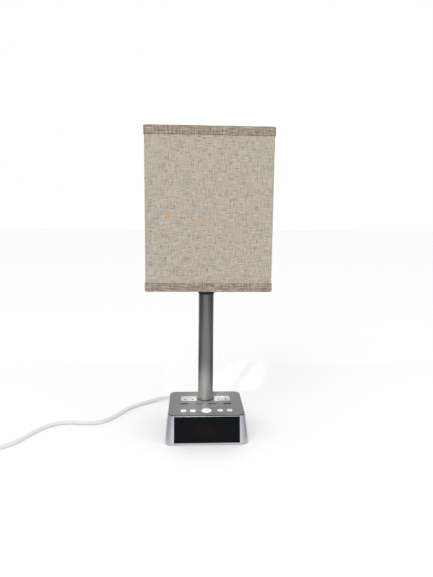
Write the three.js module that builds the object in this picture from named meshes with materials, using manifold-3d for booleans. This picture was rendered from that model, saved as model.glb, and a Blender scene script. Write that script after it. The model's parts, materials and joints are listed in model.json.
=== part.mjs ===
// Bedside table lamp whose base is an alarm clock with two mains outlets and four USB ports.
// Millimetres, +Z up. The origin is on the pole's axis, on the surface that the lamp stands on.
// -Y is the front, where the clock is read.
import * as THREE from "three";
import { mergeVertices } from "three/addons/utils/BufferGeometryUtils.js";
import Module from "manifold-3d";

const wasm = await Module();
wasm.setup();

// ---------------------------------------------------------------- fits
const GAP = 0.3; // between two pieces that touch
const THROUGH = 2; // how far a cutting tool runs past the face it cuts

// ---------------------------------------------------------------- base: outside
const PLATE_WIDTH = 121;
const PLATE_DEPTH = 105.5;
const PLATE_CORNER = 11;
const PLATE_THICKNESS = 1.4;
const PLATE_STEP_HEIGHT = 1; // the set-back under the plate that shows as a dark line
const PLATE_STEP_INSET = 1.2;
const POLE_SETBACK = 21.05; // the pole stands this far behind the plate's middle
const BASE_HEIGHT = 46; // table to the plate's top
const FOOT_PROUD = 1; // how far the feet lift the housing
const SIDE_FLARE = 5.5; // how much wider the housing's foot is than the plate, at each side
const FRONT_FLARE = 10.1;
const REAR_FLARE = 4.8;
const CORNER_STEPS = 7;

// ---------------------------------------------------------------- base: housing and cover
const WALL = 2.2;
const DECK_THICKNESS = 3; // the inward shelf that the plate lies on
const DECK_WIDTH = 9;
const COVER_THICKNESS = 2.4;
const BOSS_RADIUS = 3.4;
const BOSS_INSET = 8.3; // boss axis in from the plate's edges
const SCREW_SHANK_RADIUS = 1.5;
const SCREW_HEAD_RADIUS = 2.9;
const SCREW_HEAD_HEIGHT = 1;
const SCREW_SINK = 0.1; // screw head above the cover's underside
const SCREW_LENGTH = 11;
const FOOT_RADIUS = 6;
const FOOT_THICKNESS = 1.7;
const FOOT_INSET_X = 22; // foot centres in from the plate's sides
const FOOT_INSET_Y = 5;

// ---------------------------------------------------------------- clock front
const WINDOW_WIDTH = 104;
const WINDOW_THICKNESS = 3;
const WINDOW_SILL = 2.4; // housing left below the window, along the leaning front
const WINDOW_HEAD = 0.9; // and above it
const DIGITS_WIDTH = 62;
const DIGITS_HEIGHT = 22;
const DIGITS_DEPTH = 7;
const CLOCK_BOARD_WIDTH = 92;
const CLOCK_BOARD_HEIGHT = 34;
const BOARD_THICKNESS = 1.6;

// ---------------------------------------------------------------- power board and ballast
const MAIN_BOARD_WIDTH = 92;
const MAIN_BOARD_DEPTH = 74;
const MAIN_BOARD_CENTRE_Y = -21;
const MAIN_BOARD_HEIGHT = 12.6; // table to the board's underside
const STANDOFF_RADIUS = 2.6;
const STANDOFF_INSET = 5;
const BALLAST = { width: 72, depth: 60, height: 6 };
const TRANSFORMER = { width: 28, depth: 24, height: 12, x: -26, y: -40 };
const BUZZER = { radius: 7, height: 6, x: 30, y: -42 };
const COIN_CELL = { radius: 10, height: 3.2, x: 28, y: -17 };

// ---------------------------------------------------------------- mains outlets
const OUTLET_X = 28.1; // outlet centres, either side of the pole
const OUTLET_WIDTH = 26.8;
const OUTLET_DEPTH = 20.6;
const OUTLET_CORNER = 2.4;
const OUTLET_PROUD = 0.4;
const OUTLET_BODY_HEIGHT = 17; // from the plate's top down
const OUTLET_SKIRT = 1.4; // how far the body spreads under the plate
const OUTLET_FACE = 6; // solid depth above the contact pockets
const OUTLET_CENTRE_Y = -1.6;
const BLADE_SPACING = 12.7; // between the two blades of a grounded 15 A plug
const BLADE_Y = -5.8;
const SLOT_WIDTH = 1.9;
const SLOT_LENGTH = 6.9;
const LONG_SLOT_LENGTH = 8.1;
const GROUND_HOLE_RADIUS = 2.7;
const GROUND_Y = 4.5;
const POCKET_WIDTH = 4.8;
const POCKET_LENGTH = 9;
const LEAF = { thickness: 0.6, length: 5, spread: 2.4, height: 13 };
const BUS_THICKNESS = 1;
const BUS_FRONT = -13.8;
const BUS_REAR = -10.4;
const BUS_DROP = 4; // outlet's underside to the strip's underside
const BUS_STEP = 3; // the neutral strip runs this far under the hot one
const GROUND_BUS_WIDTH = 3.5;

// ---------------------------------------------------------------- USB ports
const USB_X = [-35.5, -11.85, 11.85, 35.5];
const USB_Y = -25.4;
const USB_WIDTH = 13.2;
const USB_DEPTH = 5.8;
const USB_WALL = 0.5;
const USB_HEIGHT = 12.4;
const TONGUE = { width: 11, thickness: 2, offset: 0.9, below: 1.6 };
const CARRIER_THICKNESS = 1.8;
const USB_BOARD_WIDTH = 92;
const USB_BOARD_DEPTH = 11;

// ---------------------------------------------------------------- buttons
const BUTTON_Y = -55.6;
const BUTTON_PROUD = 0.9;
const BUTTON_CLEARANCE = 0.3;
const BUTTON_FLANGE = 0.9; // how far the flange under the plate spreads past the cap
const BUTTON_FLANGE_HEIGHT = 1;
const BUTTON_STEM_RADIUS = 1.6;
const BUTTON_TRAVEL = 1;
const BUTTONS = [
  { name: "alarm_button", x: -37, radius: 4.7 },
  { name: "set_button", x: -22, radius: 4.7 },
  { name: "lamp_button", x: 0, radius: 8.25 },
  { name: "minus_button", x: 22, radius: 4.7 },
  { name: "plus_button", x: 37, radius: 4.7 },
];
const SWITCH = { width: 6, height: 2.2 };
const BUTTON_BOARD_WIDTH = 92;
const BUTTON_BOARD_DEPTH = 14;
const BUTTON_BOARD_DROP = 7.4; // plate's underside to the board's top
const BUTTON_POST_RADIUS = 2.1;
const BUTTON_POST_X = 29.5;
const BUTTON_POST_SHIFT = 4.6;

// ---------------------------------------------------------------- pole
const POLE_RADIUS = 12.5;
const POLE_WALL = 1.2;
const POLE_TOP = 228;
const COLLAR_RADIUS = 14.6;
const COLLAR_HEIGHT = 2.8;
const ROD_RADIUS = 4.9;
const ROD_BORE = 3.2;
const ROD_BELOW_PLATE = 14;
const ROD_ABOVE_POLE = 14;
const NUT_RADIUS = 8;
const NUT_HEIGHT = 5;

// ---------------------------------------------------------------- lamp socket and bulb
const CUP_WALL = 1.6;
const CUP_FLOOR = 3.6;
const CUP_HEIGHT = 34;
const SOCKET_RADIUS = 19.5; // the threaded skirt that the shade's ring slides over
const SOCKET_HEIGHT = 29;
const SOCKET_BORE = 14.8;
const SOCKET_FLOOR = 4;
const CUP_SIDE = [ // the cup's outside: radius, and height over its foot
  [POLE_RADIUS + 0.3, 0],
  [POLE_RADIUS + 1.7, 2],
  [POLE_RADIUS + 2.9, 4.4],
  [POLE_RADIUS + 4.5, 9],
  [SOCKET_RADIUS - 0.8, 14.5],
  [SOCKET_RADIUS, 20],
];
const SEAT_RADIUS = 22.6; // the cup's rim, which carries the shade's ring
const SEAT_HEIGHT = 2.6;
const SCREW_SHELL_WALL = 0.7;
const CONTACT_ROOM = 3; // under the bulb, for the sprung centre contact
const BULB_BASE_RADIUS = 13.1;
const BULB_BASE_HEIGHT = 23;
const BULB_RADIUS = 30;
const BULB_HEIGHT = 86;
const BULB_WALL = 1.2;
const DOME_START = -0.42; // radians below the globe's widest level, where its round part begins
const DOME_STEPS = 5;

// ---------------------------------------------------------------- shade
const SHADE_WIDTH = 187; // square, over the linen
const SHADE_BOTTOM = 246.2; // table to the lower tape's edge
const SHADE_HEIGHT = 238;
const SHADE_CORNER = 5;
const SHADE_WALL = 1.4;
const TAPE_HEIGHT = 12.6;
const TAPE_OUTSIDE = 1.3; // how far the folded tape stands out of the linen
const TAPE_INSIDE = 0.8;
const TAPE_FOLD = 1;
const FRAME_WIRE = 3;
const FRAME_INSET = 3.4; // frame wire in from the shade's edge
const SPOKE_RADIUS = 1.5;
const SHADE_RING_WIDTH = 5;
const SHADE_RING_THICKNESS = 2;
const CLAMP_RING_RADIUS = 25;
const CLAMP_RING_HEIGHT = 6;

// ---------------------------------------------------------------- mains cord
const CORD_RADIUS = 3.1;
const CORD_LIE = CORD_RADIUS + 0.03; // table to the lying cord's middle
const CORD_SIDES = 8;
const CORD_STEPS = 40;
const GLAND_X = -30;
const GLAND_HEIGHT = 14;
const GLAND_NECK = 4.6;
const GLAND_FLANGE = 7;
const GLAND_FLANGE_THICKNESS = 1.6;
const GLAND_INSIDE = 9;
const GLAND_BOOT = 5.6;
const BOOT_LENGTH = 26;
const COIL_X = -382.8;
const COIL_Y = -83;
const COIL_MIDDLE_RADIUS = 36;
const COIL_TURNS_WIDE = 3;
const COIL_TURNS_HIGH = 2;
const COIL_LIFT = 0.8; // the tie passes under the coil
const TIE_THICKNESS = 0.5;
const TIE_WIDTH = 9;
const TAIL_LENGTH = 26;
const PLUG = { width: 27, height: 22, length: 36, neck: 5.4, neckLength: 10 };
const BLADE = { thickness: 1.5, width: 6.3, length: 17.5, rise: 3 };
const PIN_RADIUS = 2.4;
const PIN_LENGTH = 21;
const PIN_DROP = 6.5;

// ---------------------------------------------------------------- levels worked out from those
const HOUSING_BOTTOM = FOOT_PROUD;
const PLATE_FRONT = -POLE_SETBACK - PLATE_DEPTH / 2;
const PLATE_REAR = -POLE_SETBACK + PLATE_DEPTH / 2;
const PLATE_UNDERSIDE = BASE_HEIGHT - PLATE_THICKNESS;
const RIM_TOP = PLATE_UNDERSIDE - GAP;
const DECK_BOTTOM = RIM_TOP - DECK_THICKNESS;
const COVER_TOP = HOUSING_BOTTOM + COVER_THICKNESS;
const BOARD_TOP = MAIN_BOARD_HEIGHT + BOARD_THICKNESS;
const FRONT_LEAN = Math.atan(FRONT_FLARE / (BASE_HEIGHT - HOUSING_BOTTOM));
const OUTLET_BOTTOM = BASE_HEIGHT - OUTLET_BODY_HEIGHT;
const HOT_BUS_BOTTOM = OUTLET_BOTTOM - BUS_DROP;
const USB_BOTTOM = BASE_HEIGHT - USB_HEIGHT;
const CARRIER_BOTTOM = USB_BOTTOM - GAP - CARRIER_THICKNESS;
const BUTTON_BOARD_TOP = PLATE_UNDERSIDE - BUTTON_BOARD_DROP;
const COLLAR_BOTTOM = BASE_HEIGHT + GAP;
const POLE_BOTTOM = COLLAR_BOTTOM + COLLAR_HEIGHT + GAP;
const CUP_BOTTOM = POLE_TOP + GAP;
const CUP_TOP = CUP_BOTTOM + CUP_HEIGHT;
const SOCKET_BOTTOM = CUP_TOP + GAP;
const SOCKET_FLOOR_TOP = SOCKET_BOTTOM + SOCKET_FLOOR;
const SHADE_RING_BOTTOM = CUP_TOP + GAP;
const CLAMP_RING_BOTTOM = SHADE_RING_BOTTOM + SHADE_RING_THICKNESS + GAP;
const BULB_BASE_BOTTOM = SOCKET_FLOOR_TOP + CONTACT_ROOM;
const BULB_BOTTOM = BULB_BASE_BOTTOM + BULB_BASE_HEIGHT + GAP;
const SHADE_TOP = SHADE_BOTTOM + SHADE_HEIGHT;
const BOOT_START = PLATE_REAR + REAR_FLARE - GAP;
const BOOT_END = BOOT_START + GLAND_FLANGE_THICKNESS + BOOT_LENGTH;
const COIL_OUTER = COIL_MIDDLE_RADIUS + COIL_TURNS_WIDE * CORD_RADIUS;
const COIL_INNER = COIL_MIDDLE_RADIUS - COIL_TURNS_WIDE * CORD_RADIUS;
const COIL_HEIGHT = COIL_TURNS_HIGH * 2 * CORD_RADIUS;
const COIL_TURN_OUTER = COIL_OUTER - CORD_RADIUS;
const TOP_TURN_HEIGHT = COIL_LIFT + COIL_HEIGHT - CORD_RADIUS;

// The cord's way from the strain relief to the coil, as it lies on the table.
const CORD_ROUTE = [
  [GLAND_X, BOOT_END + GAP, GLAND_HEIGHT],
  [-30.3, 76, 13.8],
  [-33.5, 87.5, 13],
  [-40.5, 97.5, 11.4],
  [-51, 104.8, 9.4],
  [-63.5, 109, 7.4],
  [-76.5, 109.5, 5.8],
  [-89.5, 105, 4.4],
  [-102.6, 96.5, 3.5],
  [-113, 89, CORD_LIE],
  [-122.5, 81, CORD_LIE],
  [-137.7, 64.6, CORD_LIE],
  [-149.8, 43.6, CORD_LIE],
  [-161.5, 23.5, CORD_LIE],
  [-173.5, 9.4, CORD_LIE],
  [-186, 2.6, CORD_LIE],
  [-201.2, 1.6, CORD_LIE],
  [-217, 3.2, CORD_LIE],
  [-232.8, 4.8, CORD_LIE],
  [-247.6, 2.4, CORD_LIE],
  [-261, -5.6, CORD_LIE],
  [-271.5, -17.8, CORD_LIE],
  [-281, -33.2, CORD_LIE],
  [-291.8, -54.5, CORD_LIE],
  [-303.6, -74.2, CORD_LIE],
  [-317.5, -86.8, CORD_LIE],
  [-338.5, -102.5, CORD_LIE],
];

// ---------------------------------------------------------------- materials
function finish(color, roughness, metalness) {
  return new THREE.MeshStandardMaterial({ color, roughness, metalness });
}
const satinSilver = finish(0xbfbfc8, 0.38, 0.85);
const mattGrey = finish(0x8b8c90, 0.55, 0.5);
const blackGloss = finish(0x0b0b0e, 0.12, 0);
const blackPlastic = finish(0x151516, 0.45, 0);
const whitePlastic = finish(0xf1f1ef, 0.4, 0);
const outletPlastic = finish(0xd4d4d4, 0.45, 0);
const boardGreen = finish(0x1f5a36, 0.6, 0.1);
const digitGrey = finish(0x2b2224, 0.5, 0);
const steel = finish(0x9a9ca0, 0.4, 0.9);
const brass = finish(0xc7a24c, 0.3, 0.9);
const rubber = finish(0x1d1d1e, 0.85, 0);
const linen = finish(0xbcb2a4, 0.95, 0);
const tape = finish(0xaca293, 0.95, 0);
const frosted = finish(0xf4f2ea, 0.35, 0);
const bulbMetal = finish(0xb9b9b5, 0.3, 0.9);
const whiteCord = finish(0xe9e9ea, 0.5, 0);

// ---------------------------------------------------------------- solids
function signedVolume(geometry) {
  const at = geometry.attributes.position;
  const index = geometry.index.array;
  const [a, b, c] = [new THREE.Vector3(), new THREE.Vector3(), new THREE.Vector3()];
  let total = 0;
  for (let i = 0; i < index.length; i += 3) {
    a.fromBufferAttribute(at, index[i]);
    b.fromBufferAttribute(at, index[i + 1]);
    c.fromBufferAttribute(at, index[i + 2]);
    total += a.dot(b.cross(c));
  }
  return total;
}

// One closed surface: shared vertices merged, slivers dropped, faces turned outwards.
function sealed(geometry) {
  const bare = geometry.clone();
  bare.deleteAttribute("normal");
  bare.deleteAttribute("uv");
  const merged = mergeVertices(bare, 1e-4);
  const from = merged.index.array;
  const kept = [];
  for (let i = 0; i < from.length; i += 3) {
    const [a, b, c] = [from[i], from[i + 1], from[i + 2]];
    if (a !== b && b !== c && c !== a) {
      kept.push(a, b, c);
    }
  }
  merged.setIndex(kept);
  if (signedVolume(merged) < 0) {
    merged.setIndex(kept.reverse());
  }
  return merged;
}

function toSolid(geometry) {
  const closed = sealed(geometry);
  const vertProperties = new Float32Array(closed.attributes.position.array);
  const triVerts = new Uint32Array(closed.index.array);
  return new wasm.Manifold(new wasm.Mesh({ numProp: 3, vertProperties, triVerts }));
}

function toGeometry(solid) {
  const mesh = solid.getMesh();
  const geometry = new THREE.BufferGeometry();
  geometry.setAttribute("position", new THREE.BufferAttribute(mesh.vertProperties, 3));
  geometry.setIndex(new THREE.BufferAttribute(mesh.triVerts, 1));
  return geometry;
}

function join(...geometries) {
  return toGeometry(geometries.map(toSolid).reduce((whole, next) => whole.add(next)));
}

function cut(geometry, ...tools) {
  return toGeometry(tools.map(toSolid).reduce((left, tool) => left.subtract(tool), toSolid(geometry)));
}

// ---------------------------------------------------------------- basic shapes
// A block centred on x, y and standing on z.
function block(width, depth, height, x, y, z) {
  return new THREE.BoxGeometry(width, depth, height).translate(x, y, z + height / 2);
}

// An upright cylinder centred on x, y and standing on z.
function post(radius, height, x, y, z, sides = 20) {
  const geometry = new THREE.CylinderGeometry(radius, radius, height, sides);
  return geometry.rotateX(Math.PI / 2).translate(x, y, z + height / 2);
}

// A solid turned about an upright axis at x, y, from [radius, height] pairs.
function turned(profile, x = 0, y = 0, sides = 32) {
  const points = profile.map(([radius, height]) => new THREE.Vector2(radius, height));
  return new THREE.LatheGeometry(points, sides).rotateX(Math.PI / 2).translate(x, y, 0);
}

function ringAround(inner, outer, bottom, top, x = 0, y = 0, sides = 32) {
  const profile = [[inner, bottom], [outer, bottom], [outer, top], [inner, top], [inner, bottom]];
  return turned(profile, x, y, sides);
}

// A rounded rectangle from left, right, front and rear edges, anticlockwise.
function roundedOutline({ left, right, front, rear, radius }) {
  const corners = [
    [right - radius, front + radius, -Math.PI / 2],
    [right - radius, rear - radius, 0],
    [left + radius, rear - radius, Math.PI / 2],
    [left + radius, front + radius, Math.PI],
  ];
  const points = [];
  for (const [x, y, start] of corners) {
    for (let step = 0; step <= CORNER_STEPS; step += 1) {
      const angle = start + (step / CORNER_STEPS) * (Math.PI / 2);
      points.push(new THREE.Vector2(x + radius * Math.cos(angle), y + radius * Math.sin(angle)));
    }
  }
  return points;
}

function centredSection(width, depth, radius, x = 0, y = 0) {
  return {
    left: x - width / 2,
    right: x + width / 2,
    front: y - depth / 2,
    rear: y + depth / 2,
    radius,
  };
}

function slab(section, bottom, top) {
  const shape = new THREE.Shape(roundedOutline(section));
  const depth = top - bottom;
  return new THREE.ExtrudeGeometry(shape, { depth, bevelEnabled: false }).translate(0, 0, bottom);
}

// A solid between two rounded rectangles at two heights.
function tapered(lower, bottom, upper, top) {
  const rings = [roundedOutline(lower), roundedOutline(upper)];
  const count = rings[0].length;
  const positions = [];
  rings.forEach((ring, level) => {
    ring.forEach((point) => positions.push(point.x, point.y, level === 0 ? bottom : top));
  });
  const index = [];
  for (let i = 0; i < count; i += 1) {
    const next = (i + 1) % count;
    index.push(i, next, next + count);
    index.push(i, next + count, i + count);
  }
  for (const [a, b, c] of THREE.ShapeUtils.triangulateShape(rings[0], [])) {
    index.push(c, b, a);
    index.push(a + count, b + count, c + count);
  }
  const geometry = new THREE.BufferGeometry();
  geometry.setAttribute("position", new THREE.Float32BufferAttribute(positions, 3));
  geometry.setIndex(index);
  return geometry;
}

// ---------------------------------------------------------------- the model
const lamp = new THREE.Group();

function add(name, geometry, material) {
  const closed = sealed(geometry);
  closed.computeVertexNormals();
  const mesh = new THREE.Mesh(closed, material);
  mesh.name = name;
  lamp.add(mesh);
  return mesh;
}

// The housing's outside at a height, moved in by a wall. It equals the plate at the plate's top.
function housingSection(height, inset) {
  const spread = (BASE_HEIGHT - height) / (BASE_HEIGHT - HOUSING_BOTTOM);
  return {
    left: -PLATE_WIDTH / 2 - SIDE_FLARE * spread + inset,
    right: PLATE_WIDTH / 2 + SIDE_FLARE * spread - inset,
    front: PLATE_FRONT - FRONT_FLARE * spread + inset,
    rear: PLATE_REAR + REAR_FLARE * spread - inset,
    radius: PLATE_CORNER - inset,
  };
}

// Puts a shape drawn against an upright front onto the leaning front: y goes in, z goes up.
function ontoFront(geometry) {
  const foot = housingSection(HOUSING_BOTTOM, 0);
  return geometry.rotateX(-FRONT_LEAN).translate(0, foot.front, HOUSING_BOTTOM);
}

// The opening for the window, measured along the leaning front.
function sightHeight() {
  return (RIM_TOP - HOUSING_BOTTOM) / Math.cos(FRONT_LEAN) - WINDOW_SILL - WINDOW_HEAD;
}

// The four corners where screws join the cover to the housing.
function bossPlaces() {
  const x = PLATE_WIDTH / 2 - BOSS_INSET;
  const front = PLATE_FRONT + BOSS_INSET;
  const rear = PLATE_REAR - BOSS_INSET;
  return [[-x, front], [x, front], [-x, rear], [x, rear]];
}

function footPlaces() {
  const x = PLATE_WIDTH / 2 - FOOT_INSET_X;
  const front = PLATE_FRONT + FOOT_INSET_Y;
  const rear = PLATE_REAR - FOOT_INSET_Y;
  return [[-x, front], [x, front], [-x, rear], [x, rear]];
}

function deckOpening() {
  const inset = DECK_WIDTH;
  return {
    left: -PLATE_WIDTH / 2 + inset,
    right: PLATE_WIDTH / 2 - inset,
    front: PLATE_FRONT + inset,
    rear: PLATE_REAR - inset,
    radius: 3,
  };
}

function bodyShell() {
  const foot = housingSection(HOUSING_BOTTOM, 0);
  const outside = tapered(foot, HOUSING_BOTTOM, housingSection(RIM_TOP, 0), RIM_TOP);
  const low = HOUSING_BOTTOM - THROUGH;
  const cavity = tapered(housingSection(low, WALL), low, housingSection(DECK_BOTTOM, WALL), DECK_BOTTOM);
  const opening = slab(deckOpening(), DECK_BOTTOM - THROUGH, RIM_TOP + THROUGH);
  const windowDepth = WINDOW_THICKNESS + GAP;
  const sight = ontoFront(
    block(WINDOW_WIDTH, windowDepth + THROUGH, sightHeight(), 0, (windowDepth - THROUGH) / 2, WINDOW_SILL),
  );
  const cordHole = post(GLAND_NECK + GAP, 20, 0, 0, -10).rotateX(-Math.PI / 2)
    .translate(GLAND_X, BOOT_START, GLAND_HEIGHT);
  const shell = cut(outside, cavity, opening, sight, cordHole);
  const bottom = COVER_TOP + GAP;
  const bosses = bossPlaces().map(([x, y]) => post(BOSS_RADIUS, DECK_BOTTOM + 1 - bottom, x, y, bottom, 16));
  const bores = bossPlaces().map(([x, y]) => (
    post(SCREW_SHANK_RADIUS + GAP, SCREW_LENGTH, x, y, bottom - 1, 10)
  ));
  return cut(join(shell, ...bosses), ...bores);
}

// The cover fills the housing's foot, and stops short of the window's lower edge.
function coverSection(height) {
  const section = housingSection(height, WALL + GAP);
  section.front = housingSection(height, WINDOW_THICKNESS + 2 * GAP).front;
  return section;
}

function bottomCover() {
  const panel = tapered(coverSection(HOUSING_BOTTOM), HOUSING_BOTTOM, coverSection(COVER_TOP), COVER_TOP);
  const standoffs = standoffPlaces().map(([x, y]) => (
    post(STANDOFF_RADIUS, MAIN_BOARD_HEIGHT - GAP - COVER_TOP + 1, x, y, COVER_TOP - 1, 12)
  ));
  const sink = SCREW_SINK + SCREW_HEAD_HEIGHT + GAP;
  const counterbores = bossPlaces().map(([x, y]) => (
    post(SCREW_HEAD_RADIUS + GAP, sink + THROUGH, x, y, HOUSING_BOTTOM - THROUGH, 16)
  ));
  const holes = bossPlaces().map(([x, y]) => post(SCREW_SHANK_RADIUS + GAP, 8, x, y, HOUSING_BOTTOM - 1, 10));
  const pocket = FOOT_THICKNESS - FOOT_PROUD + GAP;
  const pockets = footPlaces().map(([x, y]) => (
    post(FOOT_RADIUS + GAP, pocket + THROUGH, x, y, HOUSING_BOTTOM - THROUGH)
  ));
  return cut(join(panel, ...standoffs), ...counterbores, ...holes, ...pockets);
}

function standoffPlaces() {
  const x = MAIN_BOARD_WIDTH / 2 - STANDOFF_INSET;
  const y = MAIN_BOARD_DEPTH / 2 - STANDOFF_INSET;
  return [[-x, -y], [x, -y], [-x, y], [x, y]].map(([px, py]) => [px, py + MAIN_BOARD_CENTRE_Y]);
}

function screw(x, y) {
  const head = HOUSING_BOTTOM + SCREW_SINK;
  return turned([
    [0, head],
    [SCREW_HEAD_RADIUS, head],
    [SCREW_HEAD_RADIUS, head + SCREW_HEAD_HEIGHT],
    [SCREW_SHANK_RADIUS, head + SCREW_HEAD_HEIGHT],
    [SCREW_SHANK_RADIUS, head + SCREW_LENGTH - 1],
    [0, head + SCREW_LENGTH],
  ], x, y, 12);
}

function topPlate() {
  const edge = centredSection(PLATE_WIDTH, PLATE_DEPTH, PLATE_CORNER, 0, -POLE_SETBACK);
  const back = 2 * PLATE_STEP_INSET;
  const step = centredSection(
    PLATE_WIDTH - back, PLATE_DEPTH - back, PLATE_CORNER - PLATE_STEP_INSET, 0, -POLE_SETBACK,
  );
  const split = PLATE_UNDERSIDE + PLATE_STEP_HEIGHT;
  const posts = [-1, 1].map((side) => post(
    BUTTON_POST_RADIUS,
    PLATE_UNDERSIDE + 1 - BUTTON_BOARD_TOP - GAP,
    side * BUTTON_POST_X,
    BUTTON_Y + BUTTON_POST_SHIFT,
    BUTTON_BOARD_TOP + GAP,
    12,
  ));
  const plate = join(slab(step, PLATE_UNDERSIDE, split + GAP), slab(edge, split, BASE_HEIGHT), ...posts);
  const low = PLATE_UNDERSIDE - THROUGH;
  const high = BASE_HEIGHT + THROUGH;
  const outlets = [-1, 1].map((side) => slab(
    centredSection(
      OUTLET_WIDTH + 2 * GAP, OUTLET_DEPTH + 2 * GAP, OUTLET_CORNER + GAP, side * OUTLET_X, OUTLET_CENTRE_Y,
    ),
    low,
    high,
  ));
  const ports = USB_X.map((x) => block(USB_WIDTH + 2 * GAP, USB_DEPTH + 2 * GAP, high - low, x, USB_Y, low));
  const wells = BUTTONS.map((button) => (
    post(button.radius + BUTTON_CLEARANCE, high - low, button.x, BUTTON_Y, low, 24)
  ));
  const rodHole = post(ROD_RADIUS + GAP, high - low, 0, 0, low);
  return cut(plate, ...outlets, ...ports, ...wells, rodHole);
}

function addHousing() {
  add("bottom_cover", bottomCover(), blackPlastic);
  add("body_shell", bodyShell(), satinSilver);
  add("top_plate", topPlate(), mattGrey);
  footPlaces().forEach(([x, y], i) => {
    add(`rubber_foot_${i + 1}`, post(FOOT_RADIUS, FOOT_THICKNESS, x, y, 0), rubber);
  });
  bossPlaces().forEach(([x, y], i) => add(`cover_screw_${i + 1}`, screw(x, y), steel));
}

function addClockFront() {
  const middle = sightHeight() / 2 + WINDOW_SILL;
  const fit = 2 * GAP;
  const panel = block(
    WINDOW_WIDTH - fit, WINDOW_THICKNESS, sightHeight() - fit, 0, WINDOW_THICKNESS / 2, WINDOW_SILL + GAP,
  );
  add("display_window", ontoFront(panel), blackGloss);
  const digitsFront = WINDOW_THICKNESS + GAP;
  const digits = block(
    DIGITS_WIDTH, DIGITS_DEPTH, DIGITS_HEIGHT, 0, digitsFront + DIGITS_DEPTH / 2, middle - DIGITS_HEIGHT / 2,
  );
  add("digit_module", ontoFront(digits), digitGrey);
  const boardFront = digitsFront + DIGITS_DEPTH + GAP;
  const board = block(
    CLOCK_BOARD_WIDTH, BOARD_THICKNESS, CLOCK_BOARD_HEIGHT, 0,
    boardFront + BOARD_THICKNESS / 2, middle - CLOCK_BOARD_HEIGHT / 2,
  );
  add("clock_board", ontoFront(board), boardGreen);
}

function addPowerBoard() {
  const { width, depth, height } = BALLAST;
  add("ballast_plate", block(width, depth, height, 0, MAIN_BOARD_CENTRE_Y, COVER_TOP + GAP), steel);
  const board = block(
    MAIN_BOARD_WIDTH, MAIN_BOARD_DEPTH, BOARD_THICKNESS, 0, MAIN_BOARD_CENTRE_Y, MAIN_BOARD_HEIGHT,
  );
  add("main_board", board, boardGreen);
  const seat = BOARD_TOP + GAP;
  const { x, y } = TRANSFORMER;
  add("transformer", block(TRANSFORMER.width, TRANSFORMER.depth, TRANSFORMER.height, x, y, seat), steel);
  add("alarm_buzzer", post(BUZZER.radius, BUZZER.height, BUZZER.x, BUZZER.y, seat), blackPlastic);
  add("backup_coin_cell", post(COIN_CELL.radius, COIN_CELL.height, COIN_CELL.x, COIN_CELL.y, seat), steel);
}

// One outlet's insert: a head that fills the plate's window and a wider body with contact pockets.
function outletInsert(centre) {
  const head = centredSection(OUTLET_WIDTH, OUTLET_DEPTH, OUTLET_CORNER, centre, OUTLET_CENTRE_Y);
  const spread = 2 * OUTLET_SKIRT;
  const skirt = centredSection(
    OUTLET_WIDTH + spread, OUTLET_DEPTH + spread, OUTLET_CORNER, centre, OUTLET_CENTRE_Y,
  );
  const skirtTop = PLATE_UNDERSIDE - GAP;
  const whole = join(
    slab(head, skirtTop - 1, BASE_HEIGHT + OUTLET_PROUD),
    slab(skirt, OUTLET_BOTTOM, skirtTop),
  );
  const pocketTop = BASE_HEIGHT - OUTLET_FACE;
  const low = OUTLET_BOTTOM - THROUGH;
  const slotHeight = OUTLET_FACE + 2 * THROUGH;
  const half = BLADE_SPACING / 2;
  return cut(
    whole,
    block(SLOT_WIDTH, SLOT_LENGTH, slotHeight, centre - half, BLADE_Y, pocketTop - THROUGH),
    block(SLOT_WIDTH, LONG_SLOT_LENGTH, slotHeight, centre + half, BLADE_Y, pocketTop - THROUGH),
    post(GROUND_HOLE_RADIUS, slotHeight, centre, GROUND_Y, pocketTop - THROUGH, 16),
    block(POCKET_WIDTH, POCKET_LENGTH, pocketTop - low, centre - half, BLADE_Y, low),
    block(POCKET_WIDTH, POCKET_LENGTH, pocketTop - low, centre + half, BLADE_Y, low),
    post(GROUND_HOLE_RADIUS + 1.4, pocketTop - low, centre, GROUND_Y, low, 16),
  );
}

// A brass strip in front of the rod, with a pair of spring leaves under one slot of each outlet.
function bladeBus(side, height) {
  const places = [-OUTLET_X, OUTLET_X].map((centre) => centre + side * BLADE_SPACING / 2);
  const reach = LEAF.spread + 2 * LEAF.thickness;
  const width = places[1] - places[0] + reach;
  const middle = (places[0] + places[1]) / 2;
  const strip = block(width, BUS_REAR - BUS_FRONT, BUS_THICKNESS, middle, (BUS_FRONT + BUS_REAR) / 2, height);
  const tabRear = BLADE_Y + LEAF.length / 2;
  const tabs = places.map((x) => (
    block(reach, tabRear - BUS_REAR + 1, BUS_THICKNESS, x, (tabRear + BUS_REAR - 1) / 2, height)
  ));
  const leaves = places.flatMap((x) => [-1, 1].map((hand) => block(
    LEAF.thickness,
    LEAF.length,
    HOT_BUS_BOTTOM + LEAF.height - height,
    x + hand * (LEAF.spread + LEAF.thickness) / 2,
    BLADE_Y,
    height,
  )));
  return join(strip, ...tabs, ...leaves);
}

// The ground strip runs behind the rod and carries one sleeve under each ground hole.
function groundBus() {
  const inner = GROUND_HOLE_RADIUS;
  const outer = inner + LEAF.thickness;
  const top = HOT_BUS_BOTTOM + LEAF.height;
  const sleeves = [-OUTLET_X, OUTLET_X].map((x) => (
    ringAround(inner, outer, HOT_BUS_BOTTOM, top, x, GROUND_Y, 16)
  ));
  const y = GROUND_Y + inner + GROUND_BUS_WIDTH / 2;
  const strip = block(2 * (OUTLET_X + outer), GROUND_BUS_WIDTH, BUS_THICKNESS, 0, y, HOT_BUS_BOTTOM);
  return join(strip, ...sleeves);
}

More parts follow.
